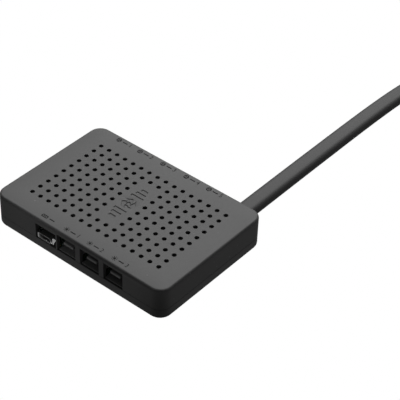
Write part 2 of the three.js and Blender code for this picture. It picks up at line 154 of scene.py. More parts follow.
def turnedShape(profile, sides, x=0.0, y=0.0, capFirst=True, capLast=True):
    # each profile point (radius, height) becomes a circle of that radius at that height
    rings = np.stack([np.column_stack([circle(r, sides, x, y), np.full(sides, z)])
                      for r, z in profile])
    return ringShape(rings, capFirst, capLast)


def roundedOutline(length, width, radius, steps=5, x=0.0, y=0.0):
    # four quarter circles, each about a centre one radius inside its corner
    angle = np.linspace(0, np.pi / 2, steps)
    turns = np.concatenate([angle + k * np.pi / 2 for k in range(4)])
    centreX = np.repeat([1, -1, -1, 1], steps) * (length / 2 - radius)
    centreY = np.repeat([1, 1, -1, -1], steps) * (width / 2 - radius)
    return np.stack([x + centreX + radius * np.cos(turns),
                     y + centreY + radius * np.sin(turns)], -1)


def stadiumOutline(width, thickness, steps=11):
    # two half circles, moved apart
    angle = np.linspace(-np.pi / 2, np.pi / 2, steps)
    turns = np.concatenate([angle, angle + np.pi])
    apart = np.repeat([1, -1], steps) * (width - thickness) / 2
    return np.stack([apart + thickness / 2 * np.cos(turns), thickness / 2 * np.sin(turns)], -1)


def insideLoop(points, loop):
    # a point is inside when a line from it along +X crosses the loop an odd number of times
    x, y = points[:, None, 0], points[:, None, 1]
    (x0, y0), (x1, y1) = loop.T, np.roll(loop, -1, 0).T
    crosses = (y0 > y) != (y1 > y)
    rise = np.where(y1 == y0, 1.0, y1 - y0)
    return (crosses & (x < x0 + (y - y0) * (x1 - x0) / rise)).sum(1) % 2 == 1


def fillPlane(loops):
    # triangles inside the first loop and outside the others, by constrained Delaunay
    points = np.concatenate(loops)
    starts = np.cumsum([0] + [len(loop) for loop in loops[:-1]])
    edges = [(int(a + i), int(a + (i + 1) % len(loop)))
             for a, loop in zip(starts, loops) for i in range(len(loop))]
    made = delaunay_2d_cdt([Vector(p) for p in points], edges, [], 1, 1e-7)
    origin = np.array([old[0] for old in made[3]])
    triangles = origin[np.array(made[2])]
    middles = points[triangles].mean(axis=1)
    keep = np.ones(len(triangles), bool)
    for loop in loops[1:]:
        near = np.flatnonzero(((middles > loop.min(0)) & (middles < loop.max(0))).all(1))
        keep[near[insideLoop(middles[near], loop)]] = False
    return triangles[keep].tolist()


def plateShape(outline, holes, z0, z1):
    # two filled planes and the walls between them
    loops = [outline] + list(holes)
    count = sum(len(loop) for loop in loops)
    flatPoints = np.concatenate(loops)
    points = np.concatenate([np.column_stack([flatPoints, np.full(count, z)]) for z in (z0, z1)])
    triangles = fillPlane(loops)
    faces = triangles + [[i + count for i in face] for face in triangles]
    walls, first = [], 0
    for loop in loops:
        size = len(loop)
        walls += [[first + i, first + (i + 1) % size, first + (i + 1) % size + count,
                   first + i + count] for i in range(size)]
        first += size
    return points, walls, faces


def blockShape(low, high):
    (x0, y0, z0), (x1, y1, z1) = low, high
    rings = np.array([[[x0, y0, z], [x1, y0, z], [x1, y1, z], [x0, y1, z]] for z in (z0, z1)])
    return ringShape(rings)


def splineThrough(points, steps):
    # Catmull-Rom: on each stretch, the cubic through its two ends whose slopes there are half
    # the chord between the points on either side
    points = np.asarray(points, float)
    ends = np.concatenate([[2 * points[0] - points[1]], points, [2 * points[-1] - points[-2]]])
    t = (np.arange(steps) / steps)[None, :, None]
    a, b, c, d = (ends[k:len(ends) - 3 + k, None] for k in range(4))
    curve = 0.5 * (2 * b + (c - a) * t + (2 * a - 5 * b + 4 * c - d) * t ** 2
                   + (3 * b - a - 3 * c + d) * t ** 3)
    return np.concatenate([curve.reshape(-1, 3), points[-1:]])


def evenSteps(line, step):
    # the line's points again, at an even distance along it
    length = np.concatenate([[0], np.cumsum(np.linalg.norm(np.diff(line, axis=0), axis=1))])
    places = np.linspace(0, length[-1], int(round(length[-1] / step)) + 1)
    return np.stack([np.interp(places, length, line[:, k]) for k in range(3)], -1), places


def sweepShape(line, roll, section):
    # each section point (across, up) is laid off from the line along two directions: the level
    # one at a right angle to the line, and the one above both, turned about the line by roll
    ahead = np.gradient(line, axis=0)
    ahead /= np.linalg.norm(ahead, axis=1, keepdims=True)
    side = np.cross(ahead, [0, 0, 1])
    side /= np.linalg.norm(side, axis=1, keepdims=True)
    up = np.cross(side, ahead)
    c, s = np.cos(roll)[:, None], np.sin(roll)[:, None]
    side, up = c * side + s * up, c * up - s * side
    rings = (line[:, None] + section[None, :, :1] * side[:, None]
             + section[None, :, 1:] * up[:, None])
    return ringShape(rings)


weldDistance = 0.002
bevelSegments = 2


def makePiece(name, shape, material, replaces=(), bevel=0.0, sharp=30, bevelAngle=50):
    points, smooth, flat = shape
    mesh = bpy.data.meshes.new(name)
    mesh.from_pydata((points * metre).tolist(), [], smooth + flat)
    mesh.polygons.foreach_set("use_smooth", [True] * len(smooth) + [False] * len(flat))
    tidy = bmesh.new()
    tidy.from_mesh(mesh)
    bmesh.ops.remove_doubles(tidy, verts=tidy.verts, dist=weldDistance * metre)
    bmesh.ops.recalc_face_normals(tidy, faces=tidy.faces)
    tidy.to_mesh(mesh)
    tidy.free()
    mesh.set_sharp_from_angle(angle=math.radians(sharp))
    mesh.materials.append(material)
    piece = bpy.data.objects.new(name, mesh)
    bpy.context.collection.objects.link(piece)
    if bevel:
        edges = piece.modifiers.new("softEdges", "BEVEL")
        edges.width = bevel * metre
        edges.segments = bevelSegments
        edges.limit_method = "ANGLE"
        edges.angle_limit = math.radians(bevelAngle)
        edges.miter_outer = "MITER_ARC"
    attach(piece, "root")
    if replaces:
        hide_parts(*replaces)
    return piece

# Finishes


def addNode(tree, kind, x, y, inputs=None, **settings):
    made = tree.nodes.new(kind)
    made.location = (x, y)
    for key, value in settings.items():
        setattr(made, key, value)
    for key, value in (inputs or {}).items():
        made.inputs[key].default_value = value
    return made


def startGroup(name, ins, outs):
    # ins and outs are {socket name: (kind, value)}
    group = bpy.data.node_groups.new(name, "ShaderNodeTree")
    for label, (kind, value) in ins.items():
        made = group.interface.new_socket(label, in_out="INPUT", socket_type=kind)
        if value is not None:
            made.default_value = value
    for label, kind in outs.items():
        group.interface.new_socket(label, in_out="OUTPUT", socket_type=kind)
    return (group, addNode(group, "NodeGroupInput", -900, 0),
            addNode(group, "NodeGroupOutput", 700, 0))


def mouldGrainGroup():
    # spark-eroded tool texture: rounded pits of one size over finer noise, with slow cloudiness
    group, start, end = startGroup(
        "mouldGrain",
        {"Vector": ("NodeSocketVector", None), "Size": ("NodeSocketFloat", 4500.0),
         "Cloud Size": ("NodeSocketFloat", 60.0)},
        {"Height": "NodeSocketFloat", "Tone": "NodeSocketFloat"})
    pits = addNode(group, "ShaderNodeTexVoronoi", -600, 200, feature="SMOOTH_F1")
    fine = addNode(group, "ShaderNodeTexNoise", -600, -100,
                   {"Detail": 3.0, "Roughness": 0.6})
    cloud = addNode(group, "ShaderNodeTexNoise", -600, -400, {"Detail": 4.0, "Roughness": 0.5})
    blend = addNode(group, "ShaderNodeMix", -200, 100, {"Factor": 0.45})
    spread = addNode(group, "ShaderNodeMapRange", -200, -300,
                     {"From Min": 0.3, "From Max": 0.7, "To Min": 0.0, "To Max": 1.0})
    links = group.links
    for texture, size in ((pits, "Size"), (fine, "Size"), (cloud, "Cloud Size")):
        links.new(start.outputs["Vector"], texture.inputs["Vector"])
        links.new(start.outputs[size], texture.inputs["Scale"])
    links.new(pits.outputs["Distance"], blend.inputs["A"])
    links.new(fine.outputs["Fac"], blend.inputs["B"])
    links.new(cloud.outputs["Fac"], spread.inputs["Value"])
    links.new(blend.outputs["Result"], end.inputs["Height"])
    links.new(spread.outputs["Result"], end.inputs["Tone"])
    return group


def dustGroup():
    # sparse specks: only the cells whose random value is high, and only near their middles
    group, start, end = startGroup(
        "dustSpecks",
        {"Vector": ("NodeSocketVector", None), "Spacing": ("NodeSocketFloat", 900.0),
         "Share": ("NodeSocketFloat", 0.12)},
        {"Mask": "NodeSocketFloat"})
    cells = addNode(group, "ShaderNodeTexVoronoi", -600, 0)
    chance = addNode(group, "ShaderNodeMath", -350, -150, operation="LESS_THAN")
    near = addNode(group, "ShaderNodeMapRange", -350, 150,
                   {"From Min": 0.05, "From Max": 0.2, "To Min": 1.0, "To Max": 0.0})
    both = addNode(group, "ShaderNodeMath", 0, 0, operation="MULTIPLY")
    pick = addNode(group, "ShaderNodeSeparateColor", -480, -150)
    links = group.links
    links.new(start.outputs["Vector"], cells.inputs["Vector"])
    links.new(start.outputs["Spacing"], cells.inputs["Scale"])
    links.new(cells.outputs["Color"], pick.inputs["Color"])
    links.new(pick.outputs["Red"], chance.inputs[0])
    links.new(start.outputs["Share"], chance.inputs[1])
    links.new(cells.outputs["Distance"], near.inputs["Value"])
    links.new(chance.outputs["Value"], both.inputs[0])
    links.new(near.outputs["Result"], both.inputs[1])
    links.new(both.outputs["Value"], end.inputs["Mask"])
    return group


def drawnLinesGroup():
    # fine streaks along one direction: noise whose pattern is stretched by the two scales
    group, start, end = startGroup(
        "drawnLines",
        {"Vector": ("NodeSocketVector", None), "Along": ("NodeSocketFloat", 20.0),
         "Across": ("NodeSocketFloat", 900.0)},
        {"Height": "NodeSocketFloat"})
    parts = addNode(group, "ShaderNodeSeparateXYZ", -700, 0)
    long = addNode(group, "ShaderNodeMath", -500, 150, operation="MULTIPLY")
    wide = addNode(group, "ShaderNodeMath", -500, 0, operation="MULTIPLY")
    deep = addNode(group, "ShaderNodeMath", -500, -150, operation="MULTIPLY")
    again = addNode(group, "ShaderNodeCombineXYZ", -300, 0)
    streak = addNode(group, "ShaderNodeTexNoise", -100, 0,
                     {"Scale": 1.0, "Detail": 4.0, "Roughness": 0.65})
    links = group.links
    links.new(start.outputs["Vector"], parts.inputs["Vector"])
    for axis, scaled, size in (("X", long, "Along"), ("Y", wide, "Across"), ("Z", deep, "Across")):
        links.new(parts.outputs[axis], scaled.inputs[0])
        links.new(start.outputs[size], scaled.inputs[1])
        links.new(scaled.outputs["Value"], again.inputs[axis])
    links.new(again.outputs["Vector"], streak.inputs["Vector"])
    links.new(streak.outputs["Fac"], end.inputs["Height"])
    return group


mouldGrain = mouldGrainGroup()
dustSpecks = dustGroup()
drawnLines = drawnLinesGroup()


def startMaterial(name, coordinate="Object"):
    material = bpy.data.materials.new(name)
    material.use_nodes = True
    tree = material.node_tree
    shader = tree.nodes["Principled BSDF"]
    where = addNode(tree, "ShaderNodeTexCoord", -1300, 0)
    return material, tree, shader, where.outputs[coordinate]


def placeGroup(tree, group, vector, x, y, **values):
    made = addNode(tree, "ShaderNodeGroup", x, y, node_tree=group)
    tree.links.new(vector, made.inputs["Vector"])
    for key, value in values.items():
        made.inputs[key.replace("_", " ")].default_value = value
    return made


def mixColours(tree, factor, first, second, x=-300, y=300):
    made = addNode(tree, "ShaderNodeMix", x, y, data_type="RGBA")
    made.inputs["A"].default_value = (*first, 1)
    made.inputs["B"].default_value = (*second, 1)
    tree.links.new(factor, made.inputs["Factor"])
    return made


def spreadValue(tree, value, low, high, x=-300, y=0):
    made = addNode(tree, "ShaderNodeMapRange", x, y,
                   {"From Min": 0.0, "From Max": 1.0, "To Min": low, "To Max": high})
    tree.links.new(value, made.inputs["Value"])
    return made.outputs["Result"]


def setRoughness(tree, shader, value, ends):
    tree.links.new(spreadValue(tree, value, *ends), shader.inputs["Roughness"])


def dustyTone(tree, shader, value, dust, look, dustColour):
    # the tone runs from dark to light with the value, and specks of dust lie over it
    tone = mixColours(tree, value, look["dark"], look["light"], -600, 300)
    strength = addNode(tree, "ShaderNodeMath", -600, -150, operation="MULTIPLY")
    strength.inputs[1].default_value = look["dustStrength"]
    tree.links.new(dust.outputs["Mask"], strength.inputs[0])
    dusty = mixColours(tree, strength.outputs["Value"], look["dark"], dustColour)
    tree.links.new(tone.outputs["Result"], dusty.inputs["A"])
    tree.links.new(dusty.outputs["Result"], shader.inputs["Base Color"])


def addBump(tree, shader, height, depth):
    bump = addNode(tree, "ShaderNodeBump", -250, -350, {"Strength": 1.0, "Distance": depth})
    tree.links.new(height, bump.inputs["Height"])
    tree.links.new(bump.outputs["Normal"], shader.inputs["Normal"])


def mouldedPlastic(name, look):
    # a grained moulding: cloudy tone, pits in the bump and in the gloss, and a few dust specks
    material, tree, shader, vector = startMaterial(name)
    grain = placeGroup(tree, mouldGrain, vector, -900, 100, Size=look["grainSize"],
                       Cloud_Size=look["cloudSize"])
    dust = placeGroup(tree, dustSpecks, vector, -900, -300, Spacing=look["dustSpacing"],
                      Share=look["dustShare"])
    dustyTone(tree, shader, grain.outputs["Tone"], dust, look, look["dustColour"])
    setRoughness(tree, shader, grain.outputs["Height"], look["roughness"])
    addBump(tree, shader, grain.outputs["Height"], look["grainDepth"])
    shader.inputs["Specular IOR Level"].default_value = look["specular"]
    return material


def grey(value, warmth=0.0):
    return (value * (1 + warmth), value, value * (1 - warmth))


lidLook = {
    "dark": grey(0.048), "light": grey(0.054), "roughness": (0.5, 0.68),
    "grainSize": 4200.0, "grainDepth": 0.00002, "cloudSize": 45.0, "specular": 0.5,
    "dustSpacing": 420.0, "dustShare": 0.05, "dustStrength": 0.25, "dustColour": grey(0.3),
}
lidPlastic = mouldedPlastic("lidPlastic", lidLook)
trayPlastic = mouldedPlastic("trayPlastic", {
    **lidLook, "dark": grey(0.045), "light": grey(0.052), "roughness": (0.48, 0.66)})
socketPlastic = mouldedPlastic("socketPlastic", {
    **lidLook, "dark": grey(0.15), "light": grey(0.19), "roughness": (0.5, 0.7),
    "grainSize": 9000.0, "grainDepth": 0.000006, "cloudSize": 300.0, "dustShare": 0.02,
    "specular": 0.3})
plugPlastic = mouldedPlastic("plugPlastic", {
    **lidLook, "dark": grey(0.012), "light": grey(0.017), "roughness": (0.32, 0.5),
    "grainSize": 9000.0, "grainDepth": 0.000006, "cloudSize": 300.0, "dustShare": 0.02})
nylonStrap = mouldedPlastic("nylonStrap", {
    **lidLook, "dark": grey(0.012), "light": grey(0.019), "roughness": (0.3, 0.5),
    "grainSize": 3000.0, "grainDepth": 0.00001, "cloudSize": 200.0})
softRubber = mouldedPlastic("softRubber", {
    **lidLook, "dark": grey(0.012), "light": grey(0.02), "roughness": (0.75, 0.95),
    "grainSize": 7000.0, "grainDepth": 0.00003, "specular": 0.35})
chipResin = mouldedPlastic("chipResin", {
    **lidLook, "dark": grey(0.010), "light": grey(0.016), "roughness": (0.45, 0.8),
    "grainSize": 12000.0, "grainDepth": 0.000012, "cloudSize": 500.0})
ferriteCore = mouldedPlastic("ferriteCore", {
    **lidLook, "dark": grey(0.03, 0.06), "light": grey(0.07, 0.06), "roughness": (0.55, 0.9),
    "grainSize": 8000.0, "grainDepth": 0.00004, "cloudSize": 900.0, "dustShare": 0.2})


def rolledMetal(name, look):
    # streaks along one axis change the gloss and the bump, and slow cloudiness changes the tone
    material, tree, shader, vector = startMaterial(name)
    streaks = placeGroup(tree, drawnLines, vector, -900, 100, Along=look["along"],
                         Across=look["across"])
    grain = placeGroup(tree, mouldGrain, vector, -900, -200, Size=6000.0, Cloud_Size=250.0)
    tone = mixColours(tree, grain.outputs["Tone"], look["dark"], look["light"])
    tree.links.new(tone.outputs["Result"], shader.inputs["Base Color"])
    setRoughness(tree, shader, streaks.outputs["Height"], look["roughness"])
    addBump(tree, shader, streaks.outputs["Height"], look["depth"])
    shader.inputs["Metallic"].default_value = 1.0
    return material


steelLook = {"dark": grey(0.7), "light": grey(0.8), "roughness": (0.18, 0.38),
             "along": 150.0, "across": 5000.0, "depth": 0.000004}
bareSteel = rolledMetal("bareSteel", {**steelLook, "roughness": (0.3, 0.5)})
blackSteel = rolledMetal("blackSteel", {
    **steelLook, "dark": grey(0.03), "light": grey(0.06), "roughness": (0.3, 0.5)})
goldPlate = rolledMetal("goldPlate", {
    **steelLook, "dark": (0.62, 0.42, 0.16), "light": (0.78, 0.56, 0.25),
    "roughness": (0.16, 0.32)})
canAluminium = rolledMetal("canAluminium", {
    **steelLook, "dark": grey(0.55), "light": grey(0.68), "roughness": (0.25, 0.45),
    "along": 3000.0, "across": 300.0})


def extrudedJacket(name, look):
    # the jacket's own map runs along it in metres and once round it: faint lines run along it, and
    # the die's slow wander shows as bands of tone
    material, tree, shader, vector = startMaterial(name, "UV")
    lines = placeGroup(tree, drawnLines, vector, -900, 200, Along=look["along"],
                       Across=look["across"])
    point = tree.nodes["Texture Coordinate"].outputs["Object"]
    grain = placeGroup(tree, mouldGrain, point, -900, -100, Size=look["grainSize"],
                       Cloud_Size=look["cloudSize"])
    dust = placeGroup(tree, dustSpecks, point, -900, -350, Spacing=500.0, Share=0.06)
    dustyTone(tree, shader, lines.outputs["Height"], dust, look, grey(0.25))
    setRoughness(tree, shader, grain.outputs["Height"], look["roughness"])
    both = addNode(tree, "ShaderNodeMix", -500, -450, {"Factor": 0.35})
    tree.links.new(lines.outputs["Height"], both.inputs["A"])
    tree.links.new(grain.outputs["Height"], both.inputs["B"])
    addBump(tree, shader, both.outputs["Result"], look["depth"])
    return material


jacketLook = {
    "dark": grey(0.04), "light": grey(0.046), "roughness": (0.56, 0.72), "grainSize": 5000.0,
    "cloudSize": 80.0, "along": 30.0, "across": 60.0, "depth": 0.00002, "dustStrength": 0.25,
}
cableJacket = extrudedJacket("cableJacket", jacketLook)


def wireSleeveMaterial():
    # a thin glossy sleeve over strands that show as a slow twist
    material, tree, shader, vector = startMaterial("wireSleeve")
    twist = addNode(tree, "ShaderNodeTexWave", -700, 100,
                    {"Scale": 500.0, "Distortion": 1.5, "Detail": 2.0}, bands_direction="DIAGONAL")
    tree.links.new(vector, twist.inputs["Vector"])
    tone = mixColours(tree, twist.outputs["Fac"], grey(0.012), grey(0.02))
    tree.links.new(tone.outputs["Result"], shader.inputs["Base Color"])
    setRoughness(tree, shader, twist.outputs["Fac"], (0.3, 0.42))
    addBump(tree, shader, twist.outputs["Fac"], 0.00003)
    return material


def boardLacquerMaterial():
    # solder mask over copper: tracks between blocks, their edges raised, and bright ring pads
    material, tree, shader, vector = startMaterial("boardLacquer")
    tracks = addNode(tree, "ShaderNodeTexBrick", -900, 250,
                     {"Scale": 260.0, "Mortar Size": 0.03, "Mortar Smooth": 0.2,
                      "Brick Width": 0.9, "Row Height": 0.32}, offset=0.35)
    tracks.inputs["Color1"].default_value = (1, 1, 1, 1)
    tracks.inputs["Color2"].default_value = (1, 1, 1, 1)
    tracks.inputs["Mortar"].default_value = (0, 0, 0, 1)
    pads = placeGroup(tree, dustSpecks, vector, -900, -100, Spacing=330.0, Share=0.3)
    grain = placeGroup(tree, mouldGrain, vector, -900, -400, Size=3000.0, Cloud_Size=120.0)
    tree.links.new(vector, tracks.inputs["Vector"])
    lacquer = mixColours(tree, tracks.outputs["Fac"], (0.006, 0.028, 0.012), (0.003, 0.014, 0.007),
                         -600, 300)
    whole = mixColours(tree, pads.outputs["Mask"], (0.006, 0.028, 0.012), (0.55, 0.42, 0.2))
    tree.links.new(lacquer.outputs["Result"], whole.inputs["A"])
    tree.links.new(whole.outputs["Result"], shader.inputs["Base Color"])
    tree.links.new(pads.outputs["Mask"], shader.inputs["Metallic"])
    setRoughness(tree, shader, grain.outputs["Height"], (0.22, 0.4))
    addBump(tree, shader, tracks.outputs["Fac"], 0.00003)
    return material


def printInkMaterial():
    # pad-printed ink: nearly even, slightly worn where the grain's peaks come through
    material, tree, shader, vector = startMaterial("printInk")
    grain = placeGroup(tree, mouldGrain, vector, -900, 0, Size=4200.0, Cloud_Size=300.0)
    tone = mixColours(tree, grain.outputs["Height"], grey(0.008), grey(0.016))
    tree.links.new(tone.outputs["Result"], shader.inputs["Base Color"])
    setRoughness(tree, shader, grain.outputs["Tone"], (0.7, 0.9))
    addBump(tree, shader, grain.outputs["Height"], 0.00001)
    shader.inputs["Specular IOR Level"].default_value = 0.2
    return material


wireSleeve = wireSleeveMaterial()
boardLacquer = boardLacquerMaterial()
printInk = printInkMaterial()
print("finishes made")

# The floor shows as the pale sweep behind the product. It lights the product's sides evenly, and
# much less than it shows, as a sweep that runs into a dark studio would, save for a patch of
# painted shade in its glow before the near corner.
studio = {
    "floorSize": 6.0,             # metres
    "floorWhite": 1.0,            # as the camera sees it
    "floorGlow": 0.24,            # as the product sees it
    # painted shade: a soft round patch before the near corner where the floor's glow is dimmed
    "paintedCornerShade": (0.052, -0.041, 0.024, 0.1),  # x, y, radius and share left before the corner
    "portLamp": (3.6, (-0.12, -0.42, 0.2), 0.02),   # watts, place from the port and radius
    "roomLight": 0.08,
    "softBox": 2.75, "softBoxSpread": 50.0,     # W/m2 and degrees
    "softBoxFrom": (-0.5, 0.85, 1.0),          # towards the light, over the product's far side
}


def addStudio(setup):
    size = setup["floorSize"] / 2
    mesh = bpy.data.meshes.new("studioFloor")
    mesh.from_pydata([(-size, -size, 0), (size, -size, 0), (size, size, 0), (-size, size, 0)],
                     [], [(0, 1, 2, 3)])
    floor = bpy.data.objects.new("studioFloor", mesh)
    bpy.context.collection.objects.link(floor)
    material = bpy.data.materials.new("studioFloor")
    material.use_nodes = True
    tree = material.node_tree
    tree.nodes.remove(tree.nodes["Principled BSDF"])
    seen = addNode(tree, "ShaderNodeLightPath", -600, 200)
    pale = addNode(tree, "ShaderNodeEmission", -300, 0, {"Strength": setup["floorWhite"]})
    # painted shade: the floor's glow, as the product sees it, is dimmed in a soft round patch
    # before the near corner
    x, y, radius, left = setup["paintedCornerShade"]
    where = addNode(tree, "ShaderNodeTexCoord", -1100, -200)
    away = addNode(tree, "ShaderNodeVectorMath", -900, -200, operation="DISTANCE")
    away.inputs[1].default_value = (x, y, 0)
    tree.links.new(where.outputs["Object"], away.inputs[0])
    glow = addNode(tree, "ShaderNodeMapRange", -600, -200,
                   {"From Min": 0.0, "From Max": radius, "To Min": setup["floorGlow"] * left,
                    "To Max": setup["floorGlow"]}, interpolation_type="SMOOTHSTEP")
    tree.links.new(away.outputs["Value"], glow.inputs["Value"])
    dull = addNode(tree, "ShaderNodeEmission", -300, -200)
    tree.links.new(glow.outputs["Result"], dull.inputs["Strength"])
    mix = addNode(tree, "ShaderNodeMixShader", 0, 0)
    tree.links.new(seen.outputs["Is Camera Ray"], mix.inputs["Fac"])
    tree.links.new(dull.outputs["Emission"], mix.inputs[1])
    tree.links.new(pale.outputs["Emission"], mix.inputs[2])
    tree.links.new(mix.outputs["Shader"], tree.nodes["Material Output"].inputs["Surface"])
    mesh.materials.append(material)

    world = bpy.data.worlds.new("studioRoom")
    world.use_nodes = True
    tree = world.node_tree
    room = tree.nodes["Background"]
    room.inputs["Color"].default_value = (1, 1, 1, 1)
    room.inputs["Strength"].default_value = setup["roomLight"]
    seen = addNode(tree, "ShaderNodeLightPath", -600, 200)
    bright = addNode(tree, "ShaderNodeBackground", -300, -200, {"Strength": 1.0})
    bright.inputs["Color"].default_value = (1, 1, 1, 1)
    mix = addNode(tree, "ShaderNodeMixShader", 0, 0)
    tree.links.new(seen.outputs["Is Camera Ray"], mix.inputs["Fac"])
    tree.links.new(room.outputs["Background"], mix.inputs[1])
    tree.links.new(bright.outputs["Background"], mix.inputs[2])
    tree.links.new(mix.outputs["Shader"], tree.nodes["World Output"].inputs["Surface"])
    bpy.context.scene.world = world

    light = bpy.data.lights.new("softBox", "SUN")
    light.energy = setup["softBox"]
    light.angle = math.radians(setup["softBoxSpread"])
    softBox = bpy.data.objects.new("softBox", light)
    way = Vector(setup["softBoxFrom"])
    softBox.location = way
    softBox.rotation_euler = way.to_track_quat("Z", "Y").to_euler()
    bpy.context.collection.objects.link(softBox)

    # a small lamp that looks into the data port
    power, place, radius = setup["portLamp"]
    light = bpy.data.lights.new("portLamp", "SPOT")
    light.energy, light.shadow_soft_size = power, radius
    portPlace = Vector([*(middleOf("data_port_tongue") * metre)[:2], 0.008])
    way = Vector(place)
    light.spot_size, light.spot_blend = 2 * math.atan(0.011 / way.length), 0.6
    lamp = bpy.data.objects.new("portLamp", light)
    lamp.location = portPlace + way
    lamp.rotation_euler = way.to_track_quat("Z", "Y").to_euler()
    bpy.context.collection.objects.link(lamp)
    bpy.context.scene.view_settings.view_transform = "Standard"


addStudio(studio)
print("floor and lights placed")

# The power lead: flat and level out of the back wall, then turned on edge for its coil.
lead = {
    "width": 9.0, "thickness": 5.2,
    "coilCentre": (2.0, 296.0), "coilRadius": (49.0, 42.6), "coilTurns": 1.15,
    "coilHeight": 5.35,
    "turnOnEdge": (158.0, 262.0),   # y of the twist's start and end
    "turnFlat": 50.0,               # mm of the tail over which it lies down again
    "step": 1.4,
}
leadRoute = [
    [35.3, 33.5, 9.2], [35.3, 45, 9.2], [35.3, 62, 9.2], [35.3, 80, 9.15], [35.3, 98, 9.05],
    [35.3, 116, 8.9], [35.4, 134, 8.65], [35.8, 152, 8.3], [36.8, 168, 7.85], [38.4, 184, 7.35],
    [40.6, 200, 6.8], [43.0, 216, 6.3], [45.5, 232, 5.85], [48.0, 248, 5.55], [49.8, 260, 5.45],
    [50.5, 267, 5.4],
]
tailRoute = [
    [27.0, 330.5, 5.4], [20.2, 334.1, 5.2], [12.5, 335.7, 4.9], [4.8, 335.2, 4.6],
    [-2.6, 332.5, 4.3], [-8.5, 328.3, 4.0], [-11.5, 325.0, 3.8], [-14.1, 321.0, 3.5],
    [-16.2, 316.0, 3.3], [-17.3, 310.7, 3.15], [-17.8, 305.8, 3.1],
]


def coilPoints(setup):
    # the radius shrinks evenly with the angle, so that the inner turn lies beside the outer one
    outer, inner = setup["coilRadius"]
    whole = 2 * np.pi * setup["coilTurns"]
    angle = np.linspace(0, whole, 34)[1:-1]
    radius = outer + (inner - outer) * angle / whole
    x, y = setup["coilCentre"]
    return np.stack([x + radius * np.cos(angle), y + radius * np.sin(angle),
                     np.full(len(angle), setup["coilHeight"])], -1)


def smoothStep(value, low, high):
    # 3 t squared minus 2 t cubed, with t from 0 at low to 1 at high
    t = np.clip((value - low) / (high - low), 0, 1)
    return t * t * (3 - 2 * t)


def addLead(setup):
    exitPoint = np.array([[middleOf("cable_grommet")[0], halfY, middleOf("cable_grommet")[2]]])
    route = np.concatenate([exitPoint, leadRoute, coilPoints(setup), tailRoute])
    line, along = evenSteps(splineThrough(route, 12), setup["step"])
    rise = smoothStep(line[:, 1], *setup["turnOnEdge"])
    coilStart = np.argmax(rise > 0.999)
    rise[coilStart:] = 1
    lie = smoothStep(along, along[-1] - setup["turnFlat"] - 12, along[-1] - 12)
    roll = (rise - lie) * np.pi / 2
    section = stadiumOutline(setup["width"], setup["thickness"])
    shape = sweepShape(line, roll, section)
    piece = makePiece("powerLead", shape, cableJacket,
                      ("power_cable", "power_cable_coil", "power_cable_tail"), sharp=60)
    wrapLead(piece, along, len(section))
    return piece, line[::3] if (len(line) - 1) % 3 == 0 else np.concatenate([line[::3], line[-1:]])


def wrapLead(piece, along, columns):
    # the map runs along the lead in metres and round it from 0 to 1 and back
    mesh = piece.data
    vertexOf = np.zeros(len(mesh.loops), int)
    mesh.loops.foreach_get("vertex_index", vertexOf)
    round_ = 1 - np.abs(2 * (vertexOf % columns) / columns - 1)
    uv = np.stack([along[np.minimum(vertexOf // columns, len(along) - 1)] * metre, round_], -1)
    layer = mesh.uv_layers.new(name="jacketMap")
    layer.data.foreach_set("uv", uv.ravel())


powerLead, leadLine = addLead(lead)
print("lead laid, mm:", round(float(np.linalg.norm(np.diff(leadLine, axis=0), axis=1).sum()), 1))

# The housing: its outline is four round corners about four centres, and the straight sides
# between them, with a stop wherever a mouth in the wall begins or ends.
case = {
    "corner": 5.8, "wall": 1.8, "topRound": 1.2, "bottomRound": (2.5, 2.0),
    "lidThickness": 1.8, "floorThickness": 1.6, "cornerSteps": 9, "printRoom": 0.045,
}
rearSockets = [f"fan_socket_{i}" for i in range(1, 6)]
frontSockets = [f"light_socket_{i}" for i in range(1, 4)]
mouths = {"socketSide": 0.2, "top": 14.2, "portX": -17.1, "portWidth": 11.7, "portTop": 13.3,
          "cableSide": 0.3, "cableTop": 12.8}


def mouthList():
    # each mouth: -1 for the front wall or 1 for the back one, its two sides and its top
    found = []
    for side, names in ((1, rearSockets), (-1, frontSockets)):
        for name in names:
            low, high = boxOf(name)
            found.append((side, low[0] - mouths["socketSide"], high[0] + mouths["socketSide"],
                          mouths["top"]))
    half = mouths["portWidth"] / 2
    found.append((-1, mouths["portX"] - half, mouths["portX"] + half, mouths["portTop"]))
    low, high = boxOf("cable_grommet")
    found.append((1, low[0] - mouths["cableSide"], high[0] + mouths["cableSide"],
                  mouths["cableTop"]))
    return found


def caseStations(openings=()):
    # each station is a centre and an outward direction: the wall stands a corner radius out
    radius, steps = case["corner"], case["cornerSteps"]
    x, y = halfX - radius, halfY - radius
    arcs = [np.linspace(k * np.pi / 2, (k + 1) * np.pi / 2, steps) for k in (-1, 0, 1, 2)]
    centres = [(x, -y), (x, y), (-x, y), (-x, -y)]
    stops = {side: sorted(v for s, a, b, _ in openings if s == side for v in (a, b))
             for side in (-1, 1)}
    cores, ways = [], []
    for k, (centre, arc) in enumerate(zip(centres, arcs)):
        cores.append(np.tile(centre, (steps, 1)))
        ways.append(np.stack([np.cos(arc), np.sin(arc)], -1))
        side = {1: 1, 3: -1}.get(k)
        if side and stops[side]:
            row = np.array(stops[side][::-side])
            cores.append(np.stack([row, np.full(len(row), side * y)], -1))
            ways.append(np.tile((0, side), (len(row), 1)))
    return np.concatenate(cores), np.concatenate(ways)


def caseRings(cores, ways, profile):
    # profile is (inset from the wall's face, height)
    return np.stack([np.column_stack([cores + ways * (case["corner"] - inset),
                                      np.full(len(cores), z)]) for inset, z in profile])


def onWall(cores, ways, side, x):
    return int(np.flatnonzero((np.abs(cores[:, 0] - x) < 1e-6) & (ways[:, 1] * side > 0.999))[0])


vents = {"pitch": 4.8, "radius": 1.0, "sides": 18, "columns": 16, "rows": 10,
         "plainColumns": (7, 8), "plainRows": (2, 7),
         "rim": [(0.12, 0.0), (0.05, 0.04), (0.0, 0.13)]}   # (wider by, lower by)


